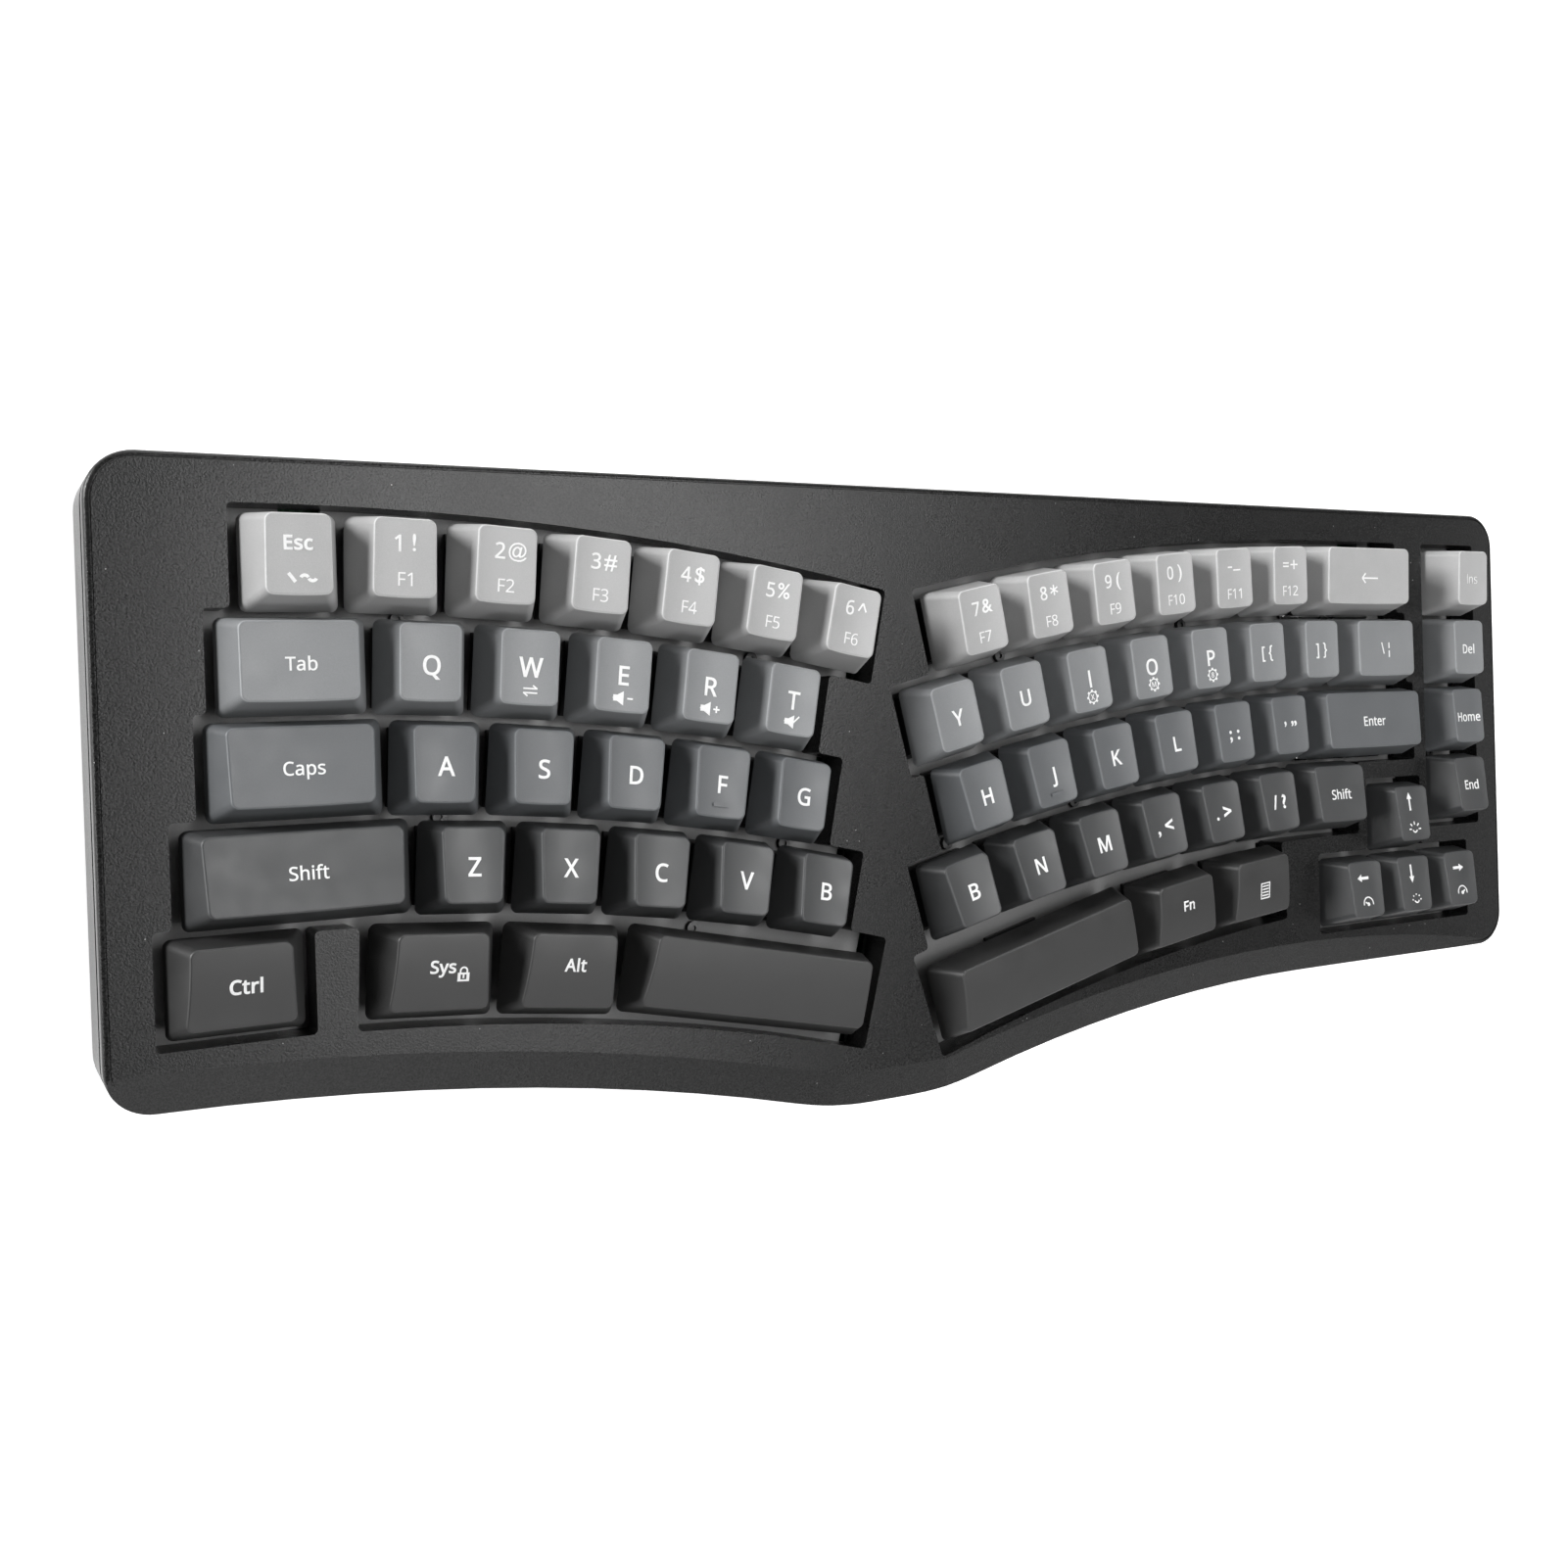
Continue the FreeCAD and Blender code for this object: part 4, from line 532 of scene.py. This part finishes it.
keySigns = {
    "escape": [("Esc", "escapeWord"), ("accents", "accents")],
    "digit_1": [("1", "digit"), ("!", "shifted"), ("F1", "lower")],
    "digit_2": [("2", "digit"), ("@", "atSign"), ("F2", "lower")],
    "digit_3": [("3", "digit"), ("#", "shifted"), ("F3", "lower")],
    "digit_4": [("4", "digit"), ("$", "shifted"), ("F4", "lower")],
    "digit_5": [("5", "digit"), ("%", "shifted"), ("F5", "lower")],
    "digit_6": [("6", "digit"), ("caret", "shifted"), ("F6", "lower")],
    "digit_7": [("7", "digit"), ("&", "shifted"), ("F7", "lower")],
    "digit_8": [("8", "digit"), ("star", "shifted"), ("F8", "lower")],
    "digit_9": [("9", "digit"), ("(", "shifted"), ("F9", "lower")],
    "digit_0": [("0", "digit"), (")", "shifted"), ("F10", "lower")],
    "minus": [("minusBar", "bars"), ("F11", "lower")],
    "equals": [("equalsPlus", "bars"), ("F12", "lower")],
    "backspace": [("arrowThin", "middleSign")],
    "tab": [("Tab", "word")],
    "w": [("W", "letterOverSign"), ("harpoons", "lowSign")],
    "e": [("E", "letterOverSign"), ("quieter", "lowSign")],
    "r": [("R", "letterOverSign"), ("louder", "lowSign")],
    "t": [("T", "letterOverSign"), ("muted", "lowSign")],
    "i": [("I", "letterOverSign"), ("ringX", "ringSign")],
    "o": [("O", "letterOverSign"), ("ringM", "ringSign")],
    "p": [("P", "letterOverSign"), ("ring8", "ringSign")],
    "bracket_left": [("[ {", "brackets")],
    "bracket_right": [("] }", "brackets")],
    "backslash": [("\\ \u00a6", "brackets")],
    "caps_lock": [("Caps", "word")],
    "semicolon": [("; :", "pair")],
    "quote": [("\u2019 \u201d", "quotes")],
    "enter": [("Enter", "word")],
    "shift_left": [("Shift", "word")],
    "comma": [(", <", "pair")],
    "period": [(". >", "pair")],
    "slash": [("/ ?", "pair")],
    "shift_right": [("Shift", "word")],
    "b_left": [("B", "letter")],
    "b_right": [("B", "letter")],
    "control": [("Ctrl", "controlWord")],
    "system": [("Sys", "systemWord"), ("lock", "lockSign")],
    "alt": [("Alt", "thumbWord")],
    "function": [("Fn", "thumbWord")],
    "menu": [("list", "middleSign")],
    "insert": [("Ins", "thinWord")],
    "delete": [("Del", "word")],
    "home": [("Home", "word")],
    "end": [("End", "word")],
    "arrow_up": [("arrowUp", "arrow"), ("brighter", "arrowSign")],
    "arrow_down": [("arrowDown", "arrow"), ("dimmer", "arrowSign")],
    "arrow_left": [("arrowLeft", "arrow"), ("slower", "arrowSign")],
    "arrow_right": [("arrowRight", "arrow"), ("faster", "arrowSign")],
}
for letter in "qyuasdfghjklzxcvnm":
    keySigns[letter] = [(letter.upper(), "letter")]

signMake = {
    "capital": 0.714,      # height of a capital at text size 1
    "letterStep": 2.0,     # added to the step of a letter, in its bevels
    "curve": 4,            # points in each curve of a letter
    "ring": 40,            # points in a drawn ring
    "weld": 0.000002,
    "from": 0.004,         # height from which a sign is let down on its cap
    "lift": 0.00002,       # ink above the cap
    "ink": 0.00005,        # thickness of the ink
}


def selectFaces(shape, chosen):
    bpy.context.tool_settings.mesh_select_mode = (False, False, True)
    bpy.ops.object.mode_set(mode="EDIT")
    bpy.ops.mesh.select_all(action="DESELECT")
    bpy.ops.object.mode_set(mode="OBJECT")
    for index in chosen:
        shape.data.polygons[index].select = True


def joinShapes(shapes):
    deselectAll()
    for shape in shapes:
        shape.select_set(True)
    bpy.context.view_layer.objects.active = shapes[0]
    if len(shapes) > 1:
        bpy.ops.object.join()
    return bpy.context.view_layer.objects.active


def flattened(shapes):
    # joins flat shapes, with all faces upwards
    sign = joinShapes(shapes)
    selectFaces(sign, [face.index for face in sign.data.polygons if face.normal.z < 0])
    bpy.ops.object.mode_set(mode="EDIT")
    bpy.ops.mesh.flip_normals()
    bpy.ops.object.mode_set(mode="OBJECT")
    return sign


# where the sans-serif letters and figures of the built-in font start
sansStarts = [("A", "Z", 0x1D5A0), ("a", "z", 0x1D5BA), ("0", "9", 0x1D7E2)]


def sansSigns(text):
    # the built-in font's capital I has serifs, so a small l stands in
    text = text.replace("I", "l")
    for first, last, start in sansStarts:
        text = "".join(chr(start + ord(sign) - ord(first)) if first <= sign <= last else sign
                       for sign in text)
    return text


def writeWord(text, style):
    # lettering of a given capital height, its middle at the origin
    deselectAll()
    bpy.ops.object.text_add(location=(0, 0, 0))
    word = bpy.context.object
    word.data.body = sansSigns(text)
    word.data.size = style["height"] / (signMake["capital"] + 2 * style["bold"])
    # heavier letters get a bevel, lighter ones an inward offset
    word.data.bevel_depth = max(style["bold"], 0.0) * word.data.size
    word.data.offset = min(style["bold"], 0.0) * word.data.size
    word.data.bevel_resolution = 0
    # what the bevel adds to a letter is added to its step too
    word.data.space_character = 1 + signMake["letterStep"] * max(style["bold"], 0.0)
    word.data.resolution_u = signMake["curve"]
    bpy.ops.object.convert(target="MESH")
    word = bpy.context.object
    # only the upper half of the bevelled letters is kept, pressed flat
    selectFaces(word, [face.index for face in word.data.polygons if face.center.z < 0])
    bpy.ops.object.mode_set(mode="EDIT")
    bpy.ops.mesh.delete(type="FACE")
    bpy.ops.mesh.select_all(action="SELECT")
    bpy.ops.transform.resize(value=(1, 1, 0), center_override=(0, 0, 0))
    bpy.ops.mesh.remove_doubles(threshold=signMake["weld"])
    bpy.ops.object.mode_set(mode="OBJECT")
    xs = [point.co.x for point in word.data.vertices]
    middleX = (min(xs) + max(xs)) / 2
    word.location = (-middleX, -style["height"] / 2, 0)
    bpy.ops.object.transform_apply(location=True, rotation=True, scale=True)
    return word


def layBar(x, y, length, width, turn=0.0):
    # a straight stroke, in millimetres and degrees
    bpy.ops.mesh.primitive_plane_add(size=0.001, location=(x / 1000, y / 1000, 0),
                                     rotation=(0, 0, math.radians(turn)))
    bar = bpy.context.object
    bar.scale = (length, width, 1)
    bpy.ops.object.transform_apply(location=True, rotation=True, scale=True)
    return bar


def layTip(x, y, size, turn=0.0):
    # a filled triangle that points along its turn
    bpy.ops.mesh.primitive_circle_add(vertices=3, radius=size / 1000, fill_type="NGON",
                                      location=(x / 1000, y / 1000, 0),
                                      rotation=(0, 0, math.radians(turn - 90)))
    bpy.ops.object.transform_apply(location=True, rotation=True, scale=True)
    return bpy.context.object


def layRing(x, y, radius, width, start=0.0, sweep=360.0):
    # a round stroke: part of a circle drawn out into a band
    centre = (x / 1000, y / 1000, 0)
    bpy.ops.mesh.primitive_circle_add(vertices=signMake["ring"],
                                      radius=(radius - width / 2) / 1000, location=centre)
    bpy.ops.object.transform_apply(location=True, rotation=True, scale=True)
    ring = bpy.context.object
    bpy.ops.object.mode_set(mode="EDIT")
    bpy.context.tool_settings.mesh_select_mode = (True, False, False)
    bpy.ops.mesh.select_all(action="DESELECT")
    bpy.ops.object.mode_set(mode="OBJECT")
    if sweep < 360:
        for point in ring.data.vertices:
            angle = math.degrees(math.atan2(point.co.y - centre[1], point.co.x - centre[0]))
            point.select = (angle - start) % 360 > sweep
        bpy.ops.object.mode_set(mode="EDIT")
        bpy.ops.mesh.delete(type="VERT")
    else:
        bpy.ops.object.mode_set(mode="EDIT")
    bpy.ops.mesh.select_all(action="SELECT")
    bpy.ops.mesh.extrude_region()
    bpy.ops.transform.resize(value=[(radius + width / 2) / (radius - width / 2)] * 3,
                             center_override=centre)
    bpy.ops.object.mode_set(mode="OBJECT")
    return ring


def layStrokes(strokes):
    shapes = [layBar(*bar) for bar in strokes.get("bars", [])]
    shapes += [layTip(*tip) for tip in strokes.get("tips", [])]
    return shapes + [layRing(*ring) for ring in strokes.get("rings", [])]


def speaker(x, bars):
    return {"bars": [(x - 0.95, 0, 0.8, 1.25)] + bars, "tips": [(x + 0.1, 0, 1.65, 180)]}


def sun(rays, reach, middle=-0.9, width=0.38):
    # a bowl with a fan of rays above it
    bars = []
    away = 1.15 + reach / 2
    for ray in range(rays):
        turn = 180 * ray / (rays - 1)
        bars.append((away * math.cos(math.radians(turn)) * 1.15,
                     away * math.sin(math.radians(turn)) + middle, reach, width, turn))
    return {"bars": bars, "rings": [(0, middle, 0.85, width, 195, 150)]}


def dial(turn):
    # a round scale with its needle
    needle = math.radians(turn)
    return {"bars": [(0.45 * math.cos(needle), 0.45 * math.sin(needle) - 0.6, 1.5, 0.42, turn)],
            "rings": [(0, -0.5, 1.75, 0.36, -15, 210), (0, -0.6, 0.32, 0.34)]}


def arrow(length, head, width, turn):
    ahead, aside = math.cos(math.radians(turn)), math.sin(math.radians(turn))
    back, front = -head * 0.5, length / 2 - head * 0.6
    return {"bars": [(ahead * back, aside * back, length - head, width, turn)],
            "tips": [(ahead * front, aside * front, head, turn)]}


def toothedRing():
    teeth = [(1.55 * math.cos(step * math.pi / 4), 1.55 * math.sin(step * math.pi / 4),
              0.42, 0.55, step * 45) for step in range(8)]
    return {"bars": teeth, "rings": [(0, 0, 1.28, 0.26)]}


# the drawn signs, in millimetres: bars are x, y, length, width and turn, tips are x, y, size
# and turn, and rings are x, y, radius, width, start and sweep
drawnSigns = {
    "accents": {"bars": [(-1.75, 0.0, 2.00, 0.66, -52)],
                "rings": [(0.50, -0.30, 0.75, 0.60, 20, 140), (1.91, 0.20, 0.75, 0.60, 200, 140)]},
    "arrowThin": {"bars": [(0.2, 0, 5.8, 0.42), (-2.25, 0.62, 1.8, 0.42, 45),
                           (-2.25, -0.62, 1.8, 0.42, -45)]},
    "harpoons": {"bars": [(0, 0.42, 2.9, 0.30), (0.98, 0.72, 1.1, 0.30, -36),
                          (0, -0.42, 2.9, 0.30), (-0.98, -0.72, 1.1, 0.30, -36)]},
    "minusBar": {"bars": [(-1.25, 0.0, 1.5, 0.40), (1.05, -0.75, 2.3, 0.36)]},
    "equalsPlus": {"bars": [(-1.45, 0.42, 2.1, 0.38), (-1.45, -0.42, 2.1, 0.38),
                            (1.45, 0, 2.4, 0.38), (1.45, 0, 0.38, 2.4)]},
    "star": {"bars": [(0, 0, 2.4, 0.36, turn) for turn in (90, 30, 150)]},
    "caret": {"bars": [(-0.48, 0.2, 2.0, 0.38, 62), (0.48, 0.2, 2.0, 0.38, -62)]},
    "quieter": speaker(-0.75, [(1.6, 0, 1.2, 0.34)]),
    "louder": speaker(-0.75, [(1.6, 0, 1.4, 0.34), (1.6, 0, 0.34, 1.4)]),
    "muted": speaker(-0.3, [(1.15, 0.55, 2.0, 0.32, 48)]),
    "lock": {"bars": [(0, 0.12, 2.3, 0.36), (0, -1.22, 2.3, 0.36), (-0.87, -0.55, 0.56, 1.0),
                      (0.87, -0.55, 0.56, 1.0), (0, -0.42, 0.34, 0.75),
                      (-0.66, 0.47, 0.32, 0.4), (0.66, 0.47, 0.32, 0.4)],
             "rings": [(0, 0.65, 0.66, 0.32, 0, 180)]},
    "list": {"bars": [(0, 1.95, 3.2, 0.32), (0, -1.95, 3.2, 0.32), (-1.45, 0, 0.32, 4.2),
                      (1.45, 0, 0.32, 4.2)] + [(0, 1.2 - 0.8 * line, 2.2, 0.34)
                                               for line in range(4)]},
    "arrowUp": arrow(4.4, 1.15, 0.62, 90),
    "arrowDown": arrow(4.4, 1.15, 0.62, 270),
    "arrowLeft": arrow(3.9, 1.15, 0.75, 180),
    "arrowRight": arrow(3.9, 1.15, 0.75, 0),
    "brighter": sun(5, 0.9),
    "dimmer": sun(5, 0.4),
    "slower": dial(150),
    "faster": dial(35),
}
# signs with a toothed ring around a small letter
ringedSigns = {"ringX": "X", "ringM": "M", "ring8": "8"}
ringedStyle = {"height": 0.0013, "bold": 0.01}


def makeSign(sign, style):
    if sign in ringedSigns:
        return layStrokes(toothedRing()) + [writeWord(ringedSigns[sign], ringedStyle)]
    if sign in drawnSigns:
        return layStrokes(drawnSigns[sign])
    return [writeWord(sign, style)]


def topFrame(name, style, board):
    # the place on a cap's top for a sign
    x, y, turn, units, row = keyPlaces[name]
    width = (units - 1) * board["pitch"] + board["topWidth"]
    across = (style["across"] - 0.5) * width
    forward = (0.5 - style["down"]) * board["topDepth"]
    lift = board["skirt"] + board["heights"][row]
    spot = Matrix.Translation((escapeKey[0] + x, escapeKey[1] + y, 0))
    key = spot @ Matrix.Rotation(turn, 4, "Z")
    tilt = Matrix.Rotation(math.radians(board["tilts"][row]), 4, "X")
    top = Matrix.Translation((0, board["topShift"], lift)) @ tilt
    return key @ top @ Matrix.Translation((across, forward, signMake["from"]))


signInk = {
    "grain": 4200.0,
    "tone": (0.84, 0.92),
    "roughness": 0.45,
    "bump": 0.1,
    "bumpDepth": 0.00003,
}


def inkFinish(name, setup):
    finish = Finish(name)
    grain = finish.noise(setup["grain"], 2.0, 0.6)
    return finish.wear(
        Base_Color=finish.greyTone(finish.spreadNoise(grain, setup["tone"])),
        Roughness=setup["roughness"],
        Normal=finish.bump(grain, setup["bump"], setup["bumpDepth"]))


def settleSigns(signs, node):
    # lets the flat signs down on their caps and gives the ink its thickness
    settle = signs.modifiers.new("settle", "SHRINKWRAP")
    settle.target = nodes[node]
    settle.wrap_method = "PROJECT"
    settle.use_project_z = True
    settle.use_negative_direction = True
    settle.use_positive_direction = False
    settle.offset = signMake["lift"]
    thick = signs.modifiers.new("ink", "SOLIDIFY")
    thick.thickness = signMake["ink"]
    thick.offset = 1.0
    bpy.ops.object.modifier_apply(modifier=settle.name)
    bpy.ops.object.modifier_apply(modifier=thick.name)


def signKeys():
    ink = inkFinish("signInk", signInk)
    nodeOf = {name: node for node, names in sharedNodes.items() for name in names}
    perNode = {}
    for name, signs in keySigns.items():
        for sign, styleName in signs:
            style = signStyles[styleName]
            piece = flattened(makeSign(sign, style))
            piece.data.transform(topFrame(name, style, keyBoard))
            perNode.setdefault(nodeOf.get(name, f"key_{name}"), []).append(piece)
    for node, shapes in perNode.items():
        signs = joinShapes(shapes)
        signs.name = f"signs_{node}"
        signs.data.name = signs.name
        settleSigns(signs, node)
        signs.data.materials.clear()
        signs.data.materials.append(ink)
        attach(signs, node)


signKeys()
print("keys signed")

# floor and light
studio = {
    "floorSize": 6.0,
    "floorColour": (0.86, 0.86, 0.86, 1.0),
    "floorRoughness": 0.9,
    "floorGlow": 0.75,
    "worldColour": (1.0, 1.0, 1.0, 1.0),
    "worldStrength": 0.06,
    # softboxes above, long low ones left and behind, and weak ones in front
    "lamps": [
        {"place": (0.30, 0.22, 1.05), "size": 0.50, "power": 4.1},
        {"place": (0.36, 0.30, 1.00), "size": 0.60, "power": 2.4},
        {"place": (0.25, -0.20, 1.15), "size": 0.50, "power": 3.2},
        {"place": (0.00, -0.85, 0.85), "size": 0.60, "power": 2.5},
        {"place": (0.80, -0.80, 0.60), "size": 0.80, "power": 2.0},
        {"place": (-1.20, 0.00, 0.12), "size": 0.40, "power": 3.4},
        {"place": (-1.10, 0.50, 0.12), "size": 0.40, "power": 15.7},
        {"place": (0.00, 1.15, 0.35), "size": 0.60, "power": 3.2},
        {"place": (1.15, 0.00, 0.35), "size": 0.60, "power": 0.8},
    ],
}


def addFloor(setup):
    deselectAll()
    bpy.ops.mesh.primitive_plane_add(size=setup["floorSize"])
    floor = bpy.context.object
    floor.name = "floor"
    finish = Finish("paleFloor")
    finish.wear(Base_Color=setup["floorColour"], Roughness=setup["floorRoughness"])
    # to the camera and in reflections the floor is white, and it keeps its shadow
    ray = finish.add("ShaderNodeLightPath")
    seen = finish.calc("MAXIMUM", ray.outputs["Is Camera Ray"], ray.outputs["Is Glossy Ray"])
    seen = finish.calc("MAXIMUM", seen, ray.outputs["Is Transmission Ray"])
    glow = finish.calc("MULTIPLY", seen, setup["floorGlow"])
    finish.wear(Emission_Color=(1.0, 1.0, 1.0, 1.0), Emission_Strength=glow)
    floor.data.materials.append(finish.material)


def addLamps(setup):
    for lamp in setup["lamps"]:
        bpy.ops.object.light_add(type="AREA", location=lamp["place"])
        light = bpy.context.object
        light.data.energy = lamp["power"]
        light.data.size = lamp["size"]
        light.rotation_euler = Vector(lamp["place"]).to_track_quat("Z", "Y").to_euler()


def addWorld(setup):
    world = bpy.data.worlds.new("paleRoom")
    bpy.context.scene.world = world
    world.use_nodes = True
    tree = world.node_tree
    tree.nodes.clear()
    output = tree.nodes.new("ShaderNodeOutputWorld")
    # a weak light on the object, and plain white for the camera
    room = tree.nodes.new("ShaderNodeBackground")
    room.inputs["Color"].default_value = setup["worldColour"]
    room.inputs["Strength"].default_value = setup["worldStrength"]
    seen = tree.nodes.new("ShaderNodeBackground")
    seen.inputs["Color"].default_value = (1.0, 1.0, 1.0, 1.0)
    seen.inputs["Strength"].default_value = 1.0
    ray = tree.nodes.new("ShaderNodeLightPath")
    mix = tree.nodes.new("ShaderNodeMixShader")
    tree.links.new(ray.outputs["Is Camera Ray"], mix.inputs[0])
    tree.links.new(room.outputs[0], mix.inputs[1])
    tree.links.new(seen.outputs[0], mix.inputs[2])
    tree.links.new(mix.outputs[0], output.inputs["Surface"])


addFloor(studio)
addLamps(studio)
addWorld(studio)
print("studio lit")
